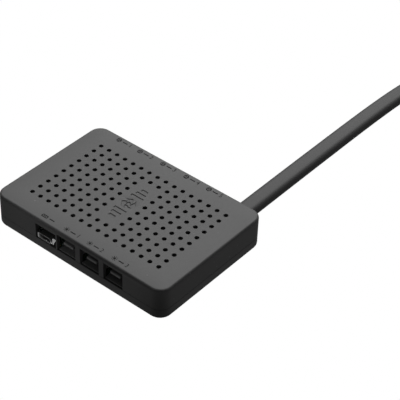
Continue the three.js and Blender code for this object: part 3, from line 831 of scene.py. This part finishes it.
def ventCentres():
    column, row = np.meshgrid(np.arange(vents["columns"]), np.arange(vents["rows"]))
    plain = ((column >= vents["plainColumns"][0]) & (column <= vents["plainColumns"][1])
             & (row >= vents["plainRows"][0]) & (row <= vents["plainRows"][1]))
    x = (column - (vents["columns"] - 1) / 2) * vents["pitch"]
    y = (row - (vents["rows"] - 1) / 2) * vents["pitch"]
    return np.stack([x[~plain], y[~plain]], -1)


emblem = {
    "depth": 0.28, "slope": 0.14, "floorInset": 0.2,
    "hub": 0.9, "bladeFrom": 1.6, "bladeTo": 3.4, "blades": 4, "bladeAngle": 52.0, "sweep": 34.0,
    "bars": [(5.4, 6.4), (7.9, 4.8), (10.4, 3.2)],   # (distance from the middle, length)
    "barWidth": 1.15,
}


def emblemOutlines(grow):
    # a rotor between two sets of bars: each outline is drawn wider by grow
    outlines = [circle(emblem["hub"] + grow, 16)]
    for k in range(emblem["blades"]):
        share = np.linspace(0, 1, 7)
        radius = emblem["bladeFrom"] - grow + share * (
            emblem["bladeTo"] - emblem["bladeFrom"] + 2 * grow)
        lean = np.radians(k * 360 / emblem["blades"] + emblem["sweep"] * share)
        half = np.radians(emblem["bladeAngle"] / 2)
        spare = grow / radius
        left, right = lean + half + spare, lean - half - spare
        edge = np.concatenate([right, left[::-1]])
        reach = np.concatenate([radius, radius[::-1]])
        outlines.append(np.stack([reach * np.cos(edge), reach * np.sin(edge)], -1))
    for away, length in emblem["bars"]:
        for sign in (-1, 1):
            x, y = length / 2 + grow, emblem["barWidth"] / 2 + grow
            outlines.append(np.array([[-x, -y], [x, -y], [x, y], [-x, y]])
                            + (0, sign * away))
    return outlines


def lidShape():
    inside = caseTop - case["lidThickness"]
    top = caseTop - case["printRoom"]
    openings = mouthList()
    cores, ways = caseStations(openings)
    count = len(cores)
    bend = np.linspace(0, np.pi / 2, 6)
    r = case["topRound"]
    profile = [(r - r * math.sin(a), top - r + r * math.cos(a)) for a in bend]
    outerHigh = len(profile)
    wall = case["wall"]
    tops = sorted({mouths[key] for key in ("top", "portTop", "cableTop")}, reverse=True)
    profile += [(0, z) for z in tops] + [(0, seamTop), (wall, seamTop)]
    profile += [(wall, z) for z in tops[::-1]] + [(wall, inside)]
    rings = caseRings(cores, ways, profile)
    keep = np.ones((len(profile) - 1, count), bool)
    extra = []
    for side, x0, x1, height in openings:
        a, b = sorted(onWall(cores, ways, side, x) for x in (x0, x1))
        high = outerHigh + tops.index(height)
        low = len(profile) - 2 - tops.index(height)
        keep[high:low, a:b] = False
        extra += [[high * count + j, high * count + j + 1, low * count + j + 1, low * count + j]
                  for j in range(a, b)]
        extra += [[k * count + j for k in range(high, low + 1)] for j in (a, b)]
    walls = (rings.reshape(-1, 3), gridQuads(len(profile), count, keep), extra)

    centres = ventCentres()
    rims = [(vents["radius"] + wide, top - low) for wide, low in vents["rim"]]
    tubes = []
    for x, y in centres:
        tubes.append(turnedShape(rims + [(vents["radius"], inside)], vents["sides"], x, y,
                                 False, False))
    wide, deep = emblemOutlines(emblem["slope"]), emblemOutlines(-emblem["floorInset"])
    pits = []
    for edge, floor in zip(wide, deep):
        pits.append(ringShape(np.stack([
            np.column_stack([edge, np.full(len(edge), top)]),
            np.column_stack([floor, np.full(len(edge), top - emblem["depth"])])]), False, True))
    planes = []
    for height, outline, holeRadius, others in (
            (top, rings[0], rims[0][0], wide), (inside, rings[-1], vents["radius"], [])):
        loops = [outline[:, :2]] + [circle(holeRadius, vents["sides"], x, y) for x, y in centres]
        loops += others
        points = np.concatenate(loops)
        planes.append((np.column_stack([points, np.full(len(points), height)]), [],
                       fillPlane(loops)))
    return joinShapes(walls, *tubes, *pits, *planes)


posts = {"lidRadius": 2.4, "trayRadius": 3.0, "bore": 1.4, "headBore": 2.3, "headDepth": 1.7,
         "headRim": 0.08,
         "screwInset": 5.2, "clampRadius": 1.7, "clampInset": (10.0, 24.0), "sides": 20,
         "sink": 0.3}


def cornerPlaces(inset):
    across, along = (inset, inset) if np.isscalar(inset) else inset
    return [(sx * (halfX - across), sy * (halfY - along)) for sx in (-1, 1) for sy in (-1, 1)]


def lidPosts():
    inside = caseTop - case["lidThickness"] + posts["sink"]
    foot = boxOf("circuit_board")[1][2] + 0.3
    made = []
    for x, y in cornerPlaces(posts["screwInset"]):
        bore = posts["bore"]
        made.append(turnedShape([(bore, 11.0), (bore, seamTop), (posts["lidRadius"], seamTop),
                                 (posts["lidRadius"], inside)], posts["sides"], x, y))
    for x, y in cornerPlaces(posts["clampInset"]):
        made.append(turnedShape([(posts["clampRadius"], foot), (posts["clampRadius"], inside)],
                                posts["sides"], x, y))
    return joinShapes(*made)


lidPiece = makePiece("lidShell", joinShapes(lidShape(), lidPosts()), lidPlastic,
                     ["top_cover"], bevel=0.18, sharp=28, bevelAngle=60)
print("lid made, faces:", len(lidPiece.data.polygons))


def trayShape():
    cores, ways = caseStations()
    count = len(cores)
    across, up = case["bottomRound"]
    bend = np.linspace(0, np.pi / 2, 7)
    wall, floor = case["wall"], case["floorThickness"]
    profile = [(across - across * math.sin(a), up - up * math.cos(a)) for a in bend]
    profile += [(0, seamBottom), (wall, seamBottom), (wall, floor)]
    rings = caseRings(cores, ways, profile)
    walls = (rings.reshape(-1, 3), gridQuads(len(profile), count), [])
    sides, base = posts["sides"], trayBox[0][2]
    screws, clamps = cornerPlaces(posts["screwInset"]), cornerPlaces(posts["clampInset"])
    towers = [turnedShape([(posts["trayRadius"], floor), (posts["trayRadius"], seamBottom),
                           (posts["bore"], seamBottom), (posts["bore"], posts["headDepth"]),
                           (posts["headBore"], posts["headDepth"]),
                           (posts["headBore"], base + posts["headRim"]),
                           (posts["headBore"] + posts["headRim"], base)],
                          sides, x, y, False, False) for x, y in screws]
    low = boxOf("circuit_board")[0][2] - 0.3
    stands = [turnedShape([(posts["clampRadius"], floor), (posts["clampRadius"], low)],
                          sides, x, y, False, True) for x, y in clamps]
    planes = []
    for height, outline, holes in (
            (base, rings[0],
             [circle(posts["headBore"] + posts["headRim"], sides, x, y) for x, y in screws]),
            (floor, rings[-1],
             [circle(posts["trayRadius"], sides, x, y) for x, y in screws]
             + [circle(posts["clampRadius"], sides, x, y) for x, y in clamps])):
        loops = [outline[:, :2]] + holes
        points = np.concatenate(loops)
        planes.append((np.column_stack([points, np.full(len(points), height)]), [],
                       fillPlane(loops)))
    return joinShapes(walls, *towers, *stands, *planes)


trayPiece = makePiece("trayShell", trayShape(), trayPlastic, ["bottom_tray"],
                      bevel=0.15, sharp=28, bevelAngle=60)
print("tray made, faces:", len(trayPiece.data.polygons))


screw = {"head": 2.1, "headHeight": 1.1, "shank": 1.1, "dome": 0.55, "cross": (1.15, 0.28),
         "depth": 0.75, "thread": 0.7, "ridge": 0.16, "sides": 24}


def addScrews(look):
    # a pan head, domed and pierced by a tapering cross, over a shank whose thread is a stack of
    # narrow ridges
    for k in range(1, 5):
        low, high = boxOf(f"case_screw_{k}")
        x, y = (low[:2] + high[:2]) / 2
        shoulder, shank = low[2] + look["headHeight"], look["shank"]
        bend = np.linspace(0, np.pi / 2, 5)
        dome = [(look["head"] - look["dome"] * (1 - math.sin(a)), low[2] + look["dome"]
                 * (1 - math.cos(a)) * 0.8) for a in bend]
        turns = np.arange(shoulder + 0.1, high[2] - 1.0, look["thread"] / 2)
        thread = [(shank - look["ridge"] * (i % 2), z) for i, z in enumerate(turns)]
        profile = [*dome, (look["head"], shoulder), (shank - look["ridge"], shoulder), *thread,
                   (0.15, high[2])]
        sides = look["sides"]
        rings = np.stack([np.column_stack([circle(r, sides, x, y), np.full(sides, z)])
                          for r, z in profile])
        body = ringShape(rings, False, True)
        # the cross's outline has twelve corners, and its floor is the same outline made smaller
        a, b = look["cross"]
        cross = np.array([[a, -b], [a, b], [b, b], [b, a], [-b, a], [-b, b], [-a, b], [-a, -b],
                          [-b, -b], [-b, -a], [b, -a], [b, -b]])
        wide, deep = cross + (x, y), cross * 0.6 + (x, y)
        pit = ringShape(np.stack([np.column_stack([wide, np.full(12, low[2])]),
                                  np.column_stack([deep, np.full(12, low[2] + look["depth"])])]),
                        False, True)
        loops = [rings[0][:, :2], wide]
        points = np.concatenate(loops)
        face = (np.column_stack([points, np.full(len(points), low[2])]), [], fillPlane(loops))
        makePiece(f"caseScrew{k}", joinShapes(body, pit, face), blackSteel,
                  [f"case_screw_{k}"], sharp=35)


addScrews(screw)
print("screws made")

# A fan or light socket: a base that holds four pins, with a tab above them that the plug clips to.
# It is drawn with its mouth at Y = 0 facing -Y and its foot at Z = 0.
socket = {
    "width": 10.2, "height": 5.8, "front": 10.0, "depth": 3.0, "pinPitch": 2.54, "pinSide": 0.64,
    "pinHeight": 1.7, "bore": 0.47, "tabWidth": 5.4, "tabOffset": 0.6, "tabFrom": 0.8,
    "tabHeight": 4.6, "tabThickness": 1.0, "lipDrop": 0.45, "ribs": (-2.1, 2.1), "ribWidth": 0.7,
    "floorFrom": 0.8, "floor": 0.4,
}
pins = {"tip": 4.6, "taper": 0.9, "tipShare": 0.45, "bend": 0.7, "leg": 13.62, "foot": 0.0,
        "barHeight": (0.32, 0.96)}


def socketShape(setup):
    front, back = setup["front"], setup["front"] + setup["depth"]
    x = setup["width"] / 2
    outline = np.array([[-x, 0], [x, 0], [x, setup["height"]], [-x, setup["height"]]])
    bore = setup["bore"]
    square = bore * np.array([[-1, -1], [1, -1], [1, 1], [-1, 1]])
    holes = [square + (c, setup["pinHeight"]) for c in (np.arange(4) - 1.5) * setup["pinPitch"]]
    base = moved(plateShape(outline, holes, front, back), swap=[0, 2, 1])
    # the tab's side view, with the small hook at its lip, is carried across its width
    low, high = setup["tabHeight"], setup["tabHeight"] + setup["tabThickness"]
    start, drop = setup["tabFrom"], setup["lipDrop"]
    side = np.array([[start + 0.25, low - drop], [start + 0.7, low - drop], [start + 1.6, low],
                     [front + 0.1, low], [front + 0.1, high], [start + 0.3, high],
                     [start, high - 0.3], [start, low - drop + 0.25]])
    half, shift = setup["tabWidth"] / 2, setup["tabOffset"]
    tab = moved(plateShape(side, [], shift - half, shift + half), swap=[2, 0, 1])
    ribs = [blockShape((shift + c - setup["ribWidth"] / 2, start + 1.6, high - 0.05),
                       (shift + c + setup["ribWidth"] / 2, front + 0.1, high + 0.3))
            for c in setup["ribs"]]
    floor = blockShape((-x, setup["floorFrom"], 0), (x, front + 0.1, setup["floor"]))
    return joinShapes(base, tab, floor, *ribs)


def pinShape(setup, look):
    # a square bar from its pointed tip through the base, round a bend and down to the board
    half, up = setup["pinSide"] / 2, setup["pinHeight"]
    tip, legY, bend = look["tip"], look["leg"], look["bend"]
    turn = np.linspace(0, np.pi / 2, 5)
    arc = np.stack([np.zeros(5), legY - bend + bend * np.sin(turn),
                    up - bend + bend * np.cos(turn)], -1)
    line = np.concatenate([[[0, tip, up], [0, tip + look["taper"], up]], arc,
                           [[0, legY, look["foot"]]]])
    ahead = np.gradient(line, axis=0)
    ahead /= np.linalg.norm(ahead, axis=1, keepdims=True)
    side = np.tile([1.0, 0, 0], (len(line), 1))
    above = np.cross(side, ahead)
    size = np.ones(len(line))
    size[0] = look["tipShare"]
    corner = half * np.array([[-1, -1], [1, -1], [1, 1], [-1, 1]])
    rings = line[:, None] + size[:, None, None] * (corner[None, :, :1] * side[:, None]
                                                   + corner[None, :, 1:] * above[:, None])
    points, _, caps = ringShape(rings)
    return points, [], gridQuads(*rings.shape[:2]) + caps


def combShape(setup, look):
    places = (np.arange(4) - 1.5) * setup["pinPitch"]
    one = pinShape(setup, look)
    half = setup["pinSide"] / 2
    low, high = look["barHeight"]
    bar = blockShape((places[0], look["leg"] - half * 0.8, low),
                     (places[-1], look["leg"] + half * 0.8, high))
    return joinShapes(*[moved(one, (x, 0, 0)) for x in places], bar)


def addSockets():
    body, comb = socketShape(socket), combShape(socket, pins)
    for names, pinNames, wallY, turn in (
            (rearSockets, "fan_pins_", halfY, math.pi), (frontSockets, "light_pins_", -halfY, 0)):
        for k, name in enumerate(names, 1):
            low = boxOf(name)[0]
            place = (middleOf(name)[0], wallY, low[2])
            label = "fan" if turn else "light"
            makePiece(f"{label}Socket{k}", moved(body, place, turn), socketPlastic,
                      [name], bevel=0.12, bevelAngle=40)
            makePiece(f"{label}Pins{k}", moved(comb, place, turn), goldPlate,
                      [f"{pinNames}{k}"], bevel=0.05, bevelAngle=40)


addSockets()
print("sockets and pins made")

# The data port: a drawn steel shell with flared lips, and a moulded tongue with its contacts.
port = {
    "width": 6.8, "height": 2.9, "corner": 0.8, "sheet": 0.25, "rim": 0.12, "recess": 0.5,
    "depth": 5.5, "flare": 0.4, "flareLength": 1.0, "tongue": 0.62,
    "tongueWidth": 5.3, "contacts": 5, "contactPitch": 0.95,
    "contact": (0.44, 4.2, 1.3, 0.05),   # width, its two ends before the back, half its thickness
    "legs": (2.9, 0.8, 0.35),
    # the side wing's front corner, top corner, side and back, then its foot and its top
    "wing": {"corner": 3.2, "peak": 4.2, "side": 5.5, "back": 1.9, "foot": 0.65, "top": 2.6},
}


def portShellShape(look):
    # the section is carried back from its flared lip: outside and inside skins joined at both ends
    wide, tall, sheet = look["width"], look["height"], look["sheet"]
    rows = [(look["recess"], look["flare"]), (look["recess"] + 0.25, look["flare"] * 0.45),
            (look["recess"] + look["flareLength"], 0.0), (look["recess"] + look["depth"], 0.0)]
    middle = tall / 2
    outer, inner = [], []
    for y, flare in rows:
        inside = look["rim"] if y == look["recess"] else sheet
        for skins, inset in ((outer, 0.0), (inner, inside)):
            ring = roundedOutline(wide - 2 * inset + 2 * flare, tall - 2 * inset,
                                  look["corner"] - inset, 7)
            skins.append(np.column_stack([ring[:, 0], np.full(len(ring), y), ring[:, 1] + middle]))
    rings = np.stack(inner[::-1] + outer)
    points = rings.reshape(-1, 3)
    rowCount, columns = rings.shape[:2]
    quads = gridQuads(rowCount, columns)
    last = (rowCount - 1) * columns
    end = [[last + i, last + (i + 1) % columns, (i + 1) % columns, i] for i in range(columns)]
    x, long, thick = look["legs"]
    back = look["recess"] + look["depth"]
    legs = [blockShape((sx * x - thick / 2, back - 1.5 - long, 0.0),
                       (sx * x + thick / 2, back - 1.5, 0.4)) for sx in (-1, 1)]
    # the side wing is a three-cornered plate that leans back, with its slant edge on the left
    wing = look["wing"]
    x0, x1, x2 = wing["corner"], wing["side"], wing["peak"]
    y0, y1 = look["recess"] + 0.02, wing["back"]
    front = [(x0, y0, wing["foot"]), (x1, y0, wing["foot"]), (x1, y1, wing["top"]),
             (x2, y1, wing["top"])]
    behind = [(x, y + sheet, z - sheet * 0.6) for x, y, z in front]
    plate = ringShape(np.array([behind, front]))
    return joinShapes((points, quads, end), *legs, plate)


def tongueShape(look):
    back = look["recess"] + look["depth"]
    middle = look["height"] / 2
    wide, thick = look["tongueWidth"] / 2, look["tongue"] / 2
    blade = moved(plateShape(roundedOutline(2 * wide, 4.0, 0.5, 4, 0, back - 2.6), [],
                             middle - thick, middle + thick))
    foot = blockShape((-2.5, back - 1.2, 0.75), (2.5, back - 0.05, 2.15))
    return joinShapes(blade, foot)


def addPort(look):
    low = boxOf("data_port_shell")
    place = (middleOf("data_port_tongue")[0], -halfY, low[0][2])
    makePiece("portShell", moved(portShellShape(look), place), bareSteel,
              ["data_port_shell"], sharp=40)
    makePiece("portTongue", moved(tongueShape(look), place), plugPlastic,
              ["data_port_tongue"], bevel=0.06)
    back = look["recess"] + look["depth"]
    wide, start, end, thick = look["contact"]
    top = look["height"] / 2 + look["tongue"] / 2
    strips = [blockShape((x - wide / 2, back - start, top - thick),
                         (x + wide / 2, back - end, top + thick))
              for x in (np.arange(look["contacts"]) - 2) * look["contactPitch"]]
    makePiece("portContacts", moved(joinShapes(*strips), place), goldPlate)


addPort(port)
print("data port made")

# The grommet's collar and the tie that holds the jacket inside the wall
grommet = {"gap": 0.1, "rim": 0.25}


def sleeveShape(outer, inner, rows):
    # rows of (place along Y, how much wider): an outside skin back over an inside one
    rings = []
    for y, wider in rows:
        ring = stadiumOutline(outer[0] + 2 * wider, outer[1] + 2 * wider)
        rings.append(np.column_stack([ring[:, 0], np.full(len(ring), y), ring[:, 1]]))
    for y in (rows[-1][0], rows[0][0]):
        ring = stadiumOutline(*inner)
        rings.append(np.column_stack([ring[:, 0], np.full(len(ring), y), ring[:, 1]]))
    rings = np.stack(rings)
    rowCount, columns = rings.shape[:2]
    last = (rowCount - 1) * columns
    start = [[last + i, last + (i + 1) % columns, (i + 1) % columns, i] for i in range(columns)]
    return rings.reshape(-1, 3), gridQuads(rowCount, columns), start


def addGrommet(look):
    low, high = boxOf("cable_grommet")
    x, _, z = (low + high) / 2
    place = (x, 0, z)
    inner = (lead["width"] + 2 * look["gap"], lead["thickness"] + 2 * look["gap"])
    outer = (high[0] - low[0], high[2] - low[2])
    rim = look["rim"]
    rows = [(low[1], -rim), (low[1] + rim, 0), (high[1] - rim, 0), (high[1] - 0.06, -0.07),
            (high[1], -rim)]
    makePiece("cableGrommet", moved(sleeveShape(outer, inner, rows), place), softRubber,
              ["cable_grommet"], sharp=50)
    low, high = boxOf("strain_tie")
    outer = (high[0] - low[0], high[2] - low[2])
    rows = [(low[1], -0.12), (low[1] + 0.12, 0), (high[1] - 0.12, 0), (high[1], -0.12)]
    band = moved(sleeveShape(outer, inner, rows), place)
    head = blockShape((place[0] + 1.2, low[1] - 0.3, high[2] - 0.3),
                      (place[0] + 4.0, high[1] + 0.3, high[2] + 0.9))
    makePiece("strainTie", joinShapes(band, head), nylonStrap, ["strain_tie"], bevel=0.1,
              sharp=50)


addGrommet(grommet)
print("grommet and strain tie made")

# The strap round the coil, its head and its cut tail
strap = {"width": 7.0, "thickness": 0.35, "ridge": 0.12, "ridges": 26,
         "head": (7.6, 4.4, 2.0), "angle": 200.0}


def addStrap(look):
    low, high = boxOf("cable_tie")
    outer, inner = lead["coilRadius"]
    angle = math.radians(look["angle"])
    half = lead["thickness"] / 2
    reach0, reach1 = inner - half - 0.7, outer + half + 0.7
    foot, top = 0.06, lead["coilHeight"] + lead["width"] / 2 + 0.35
    # the loop in the strap's own plane: a rounded rectangle round both turns
    loop = roundedOutline(reach1 - reach0, top - foot, 0.9, 7, (reach0 + reach1) / 2,
                          (top + foot) / 2)
    line = np.concatenate([loop, loop[:1]])
    away = np.concatenate([[0], np.cumsum(np.linalg.norm(np.diff(line, axis=0), axis=1))])
    places = np.linspace(0, away[-1], 140)[:-1]
    centre = np.stack([np.interp(places, away, line[:, k]) for k in range(2)], -1)
    ahead = np.roll(centre, -1, 0) - np.roll(centre, 1, 0)
    ahead /= np.linalg.norm(ahead, axis=1, keepdims=True)
    out = np.stack([ahead[:, 1], -ahead[:, 0]], -1)
    wave = look["ridge"] * (0.5 + 0.5 * np.cos(places * 2 * np.pi * look["ridges"] / away[-1]))
    wide, thick = look["width"] / 2, look["thickness"]
    rows = []
    for across, depth in ((-wide, 0.0), (-wide, 1.0), (-wide * 0.8, 1.0), (wide * 0.8, 1.0),
                          (wide, 1.0), (wide, 0.0)):
        rise = thick * depth - thick + (0.0 if abs(across) == wide else 1.0) * wave * 0.4
        at = centre + out * np.minimum(rise, 0.0)[:, None]
        rows.append(np.column_stack([at[:, 0], np.full(len(at), across), at[:, 1]]))
    rings = np.stack(rows, 1)
    count, columns = rings.shape[:2]
    joined = np.concatenate([rings, rings[:1]])
    band = (joined.reshape(-1, 3), gridQuads(count + 1, columns), [])
    hx, hy, hz = look["head"]
    top -= 0.05
    middle = (reach0 + reach1) / 2
    headLow = (middle - hy / 2, -hx / 2, top - 0.3)
    headBox = blockShape(headLow, (middle + hy / 2, hx / 2, min(top + hz, high[2] - 0.02)))
    place = (*lead["coilCentre"], 0)
    makePiece("coilStrap", moved(joinShapes(band, headBox), place, angle), nylonStrap,
              ["cable_tie"], bevel=0.08, sharp=40)


addStrap(strap)
print("coil strap made")

# The power plug is drawn with the lead's end at X = 0 and its mouth facing +X, on Z = 0.
plug = {
    "width": 22.4, "height": 6.1, "cover": 6.0, "housing": 13.5, "join": 0.3, "corner": 0.7,
    "slot": (19.6, 2.4, 7.0), "key": 1.8, "keyDepth": 1.0,
    "contacts": 15, "contactPitch": 1.27, "neck": 12.0, "shoulder": 3.6,
}


def plugHousingShape(look):
    # the body's section has the slot and its key cut in it at the mouth, and is whole behind it
    wide, tall = look["width"] / 2, look["height"]
    start, mouth = look["cover"] + look["join"], look["cover"] + look["join"] + look["housing"]
    slotWide, slotTall, slotDeep = look["slot"]
    low, high = tall / 2 - slotTall / 2, tall / 2 + slotTall / 2
    half, key = slotWide / 2, look["key"]
    slot = np.array([[-half, low], [half - key, low], [half - key, low - look["keyDepth"]],
                     [half, low - look["keyDepth"]], [half, high], [-half, high]])
    outline = roundedOutline(2 * wide, tall, look["corner"], 4, 0, tall / 2)
    front = plateShape(outline, [slot], mouth - slotDeep, mouth)
    back = plateShape(outline, [], start, mouth - slotDeep)
    return joinShapes(moved(front, swap=[2, 0, 1]), moved(back, swap=[2, 0, 1]))


def plugCoverShape(look):
    # the cover widens from the lead to the housing: a rounded section scaled along X
    tall = look["height"]
    rows = [(0.0, look["neck"], 5.6), (0.8, look["neck"] + 0.6, tall),
            (look["shoulder"], look["width"] - 0.4, tall), (look["shoulder"] + 0.4, look["width"],
                                                            tall),
            (look["cover"], look["width"], tall)]
    rings = []
    for x, wide, height in rows:
        ring = roundedOutline(wide, height, look["corner"], 5, 0, tall / 2)
        rings.append(np.column_stack([np.full(len(ring), x), ring]))
    return ringShape(np.stack(rings))


def addPlug(look):
    route = np.array(tailRoute)
    heading = route[-1] - route[-2]
    turn = math.atan2(heading[1], heading[0])
    place = (route[-1][0] + look["join"] * math.cos(turn),
             route[-1][1] + look["join"] * math.sin(turn), 0.04)
    housing = makePiece("plugHousing", moved(plugHousingShape(look), place, turn), plugPlastic,
                        ["plug_housing"], bevel=0.15)
    cover = makePiece("plugCover", moved(plugCoverShape(look), place, turn), plugPlastic,
                      ["plug_cover"], bevel=0.15)
    slotWide, slotTall, slotDeep = look["slot"]
    mouth = look["cover"] + look["join"] + look["housing"]
    low = look["height"] / 2 - slotTall / 2
    last = (look["contacts"] - 1) / 2 * look["contactPitch"]
    side = np.array([[mouth - slotDeep - 0.1, 0.05], [mouth - 4.2, 0.05], [mouth - 3.0, 0.75],
                     [mouth - 2.2, 0.85], [mouth - 1.0, 0.3], [mouth - 1.0, 0.12],
                     [mouth - 2.2, 0.6], [mouth - 2.9, 0.55], [mouth - 4.0, -0.15],
                     [mouth - slotDeep - 0.1, -0.15]])
    finger = moved(plateShape(side, [], -0.3, 0.3), swap=[0, 2, 1])
    fingers = [moved(finger, (0, k * look["contactPitch"] - last, low + 0.16))
               for k in range(look["contacts"])]
    contacts = makePiece("plugContacts", moved(joinShapes(*fingers), place, turn), goldPlate,
                         ["plug_contacts"])
    return [housing, cover, contacts]


plugPieces = addPlug(plug)
print("plug made")

# Printed marks beside the sockets: a pictogram, a dash and a number, thin plates of ink.
marks = {
    "thickness": 0.025, "bar": (2.8, 0.55), "numberSize": 3.1, "stroke": 0.42,
    "rearX": (-29.7, -17.1, -3.6, 9.9, 22.8), "rearInset": 2.9,
    "frontX": (-4.5, 8.7, 22.5), "portX": -18.3, "frontInset": 3.5,
    "picture": -3.3, "dash": 0.3, "number": 3.4,
}


def numberShape(digit, size):
    # the numeral's curves are made a mesh and its points are kept
    curve = bpy.data.curves.new("numeral", "FONT")
    curve.body = str(digit)
    curve.size = size
    curve.align_x = "CENTER"
    curve.align_y = "CENTER"
    curve.resolution_u = 3
    curve.extrude = marks["thickness"] / 2
    holder = bpy.data.objects.new("numeral", curve)
    bpy.context.collection.objects.link(holder)
    mesh = bpy.data.meshes.new_from_object(holder)
    points = np.zeros(len(mesh.vertices) * 3)
    mesh.vertices.foreach_get("co", points)
    faces = [list(face.vertices) for face in mesh.polygons]
    bpy.data.objects.remove(holder)
    bpy.data.curves.remove(curve)
    bpy.data.meshes.remove(mesh)
    return points.reshape(-1, 3) + (0, 0, marks["thickness"] / 2), [], faces


def inkPlate(outline, holes=()):
    return plateShape(outline, list(holes), 0.0, marks["thickness"])


def rotorPicture():
    # a ring with three blades inside it
    stroke = marks["stroke"]
    shapes = [inkPlate(circle(1.25, 20), [circle(1.25 - stroke, 20)]), inkPlate(circle(0.26, 8))]
    for k in range(3):
        share = np.linspace(0, 1, 4)
        radius = 0.36 + 0.5 * share
        lean = 2 * np.pi * k / 3 + 0.7 * share
        edge = np.concatenate([lean - 0.42, (lean + 0.42)[::-1]])
        reach = np.concatenate([radius, radius[::-1]])
        shapes.append(inkPlate(np.stack([reach * np.cos(edge), reach * np.sin(edge)], -1)))
    return joinShapes(*shapes)


def lampPicture():
    # a disc with eight short rays
    shapes = [inkPlate(circle(0.62, 14))]
    for angle in np.arange(8) * np.pi / 4:
        c, s = math.cos(angle), math.sin(angle)
        ray = np.array([[0.85, -0.15], [1.35, -0.15], [1.35, 0.15], [0.85, 0.15]])
        shapes.append(inkPlate(ray @ np.array([[c, s], [-s, c]])))
    return joinShapes(*shapes)


def socketPicture():
    # a round-cornered frame with a bar across its middle
    outer = roundedOutline(3.4, 1.7, 0.5, 4)
    inner = roundedOutline(3.4 - 2 * marks["stroke"], 1.7 - 2 * marks["stroke"], 0.3, 4)
    return joinShapes(inkPlate(outer, [inner]), inkPlate(roundedOutline(1.7, 0.36, 0.1, 3)))


def addMarks(look):
    height = caseTop - case["printRoom"]
    long, wide = look["bar"]
    dash = inkPlate(roundedOutline(long, wide, 0.12, 3))
    pictures = {"fan": rotorPicture(), "light": lampPicture(), "port": socketPicture()}
    rows = [("fan", x, halfY - look["rearInset"], k) for k, x in enumerate(look["rearX"], 1)]
    rows += [("light", x, look["frontInset"] - halfY, k) for k, x in enumerate(look["frontX"], 1)]
    rows.append(("port", look["portX"], look["frontInset"] - halfY, 0))
    for kind, x, y, number in rows:
        shapes = [moved(pictures[kind], (look["picture"] if number else -2.2, 0, 0)),
                  moved(dash, (look["dash"] if number else 1.9, 0, 0))]
        if number:
            shapes.append(moved(numberShape(number, look["numberSize"]), (look["number"], 0, 0)))
        makePiece(f"{kind}Mark{number or ''}", moved(joinShapes(*shapes), (x, y, height)),
                  printInk)


addMarks(marks)
print("marks printed")

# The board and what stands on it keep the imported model's shapes and take the finishes above.
carried = {
    "circuit_board": boardLacquer, "microcontroller": chipResin, "level_shifter": chipResin,
    "data_protector": chipResin, "crystal": bareSteel, "power_regulator": chipResin,
    "power_inductor": ferriteCore, "capacitor_1": canAluminium, "capacitor_2": canAluminium,
    "cable_stub": cableJacket,
    **{f"fan_driver_{i}": chipResin for i in range(1, 6)},
    **{f"power_wire_{i}": wireSleeve for i in range(1, 5)},
}


def finishCarried():
    for name, material in carried.items():
        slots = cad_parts[name].material_slots
        for k in range(len(slots)):
            slots[k].material = material


finishCarried()
print("board finished")
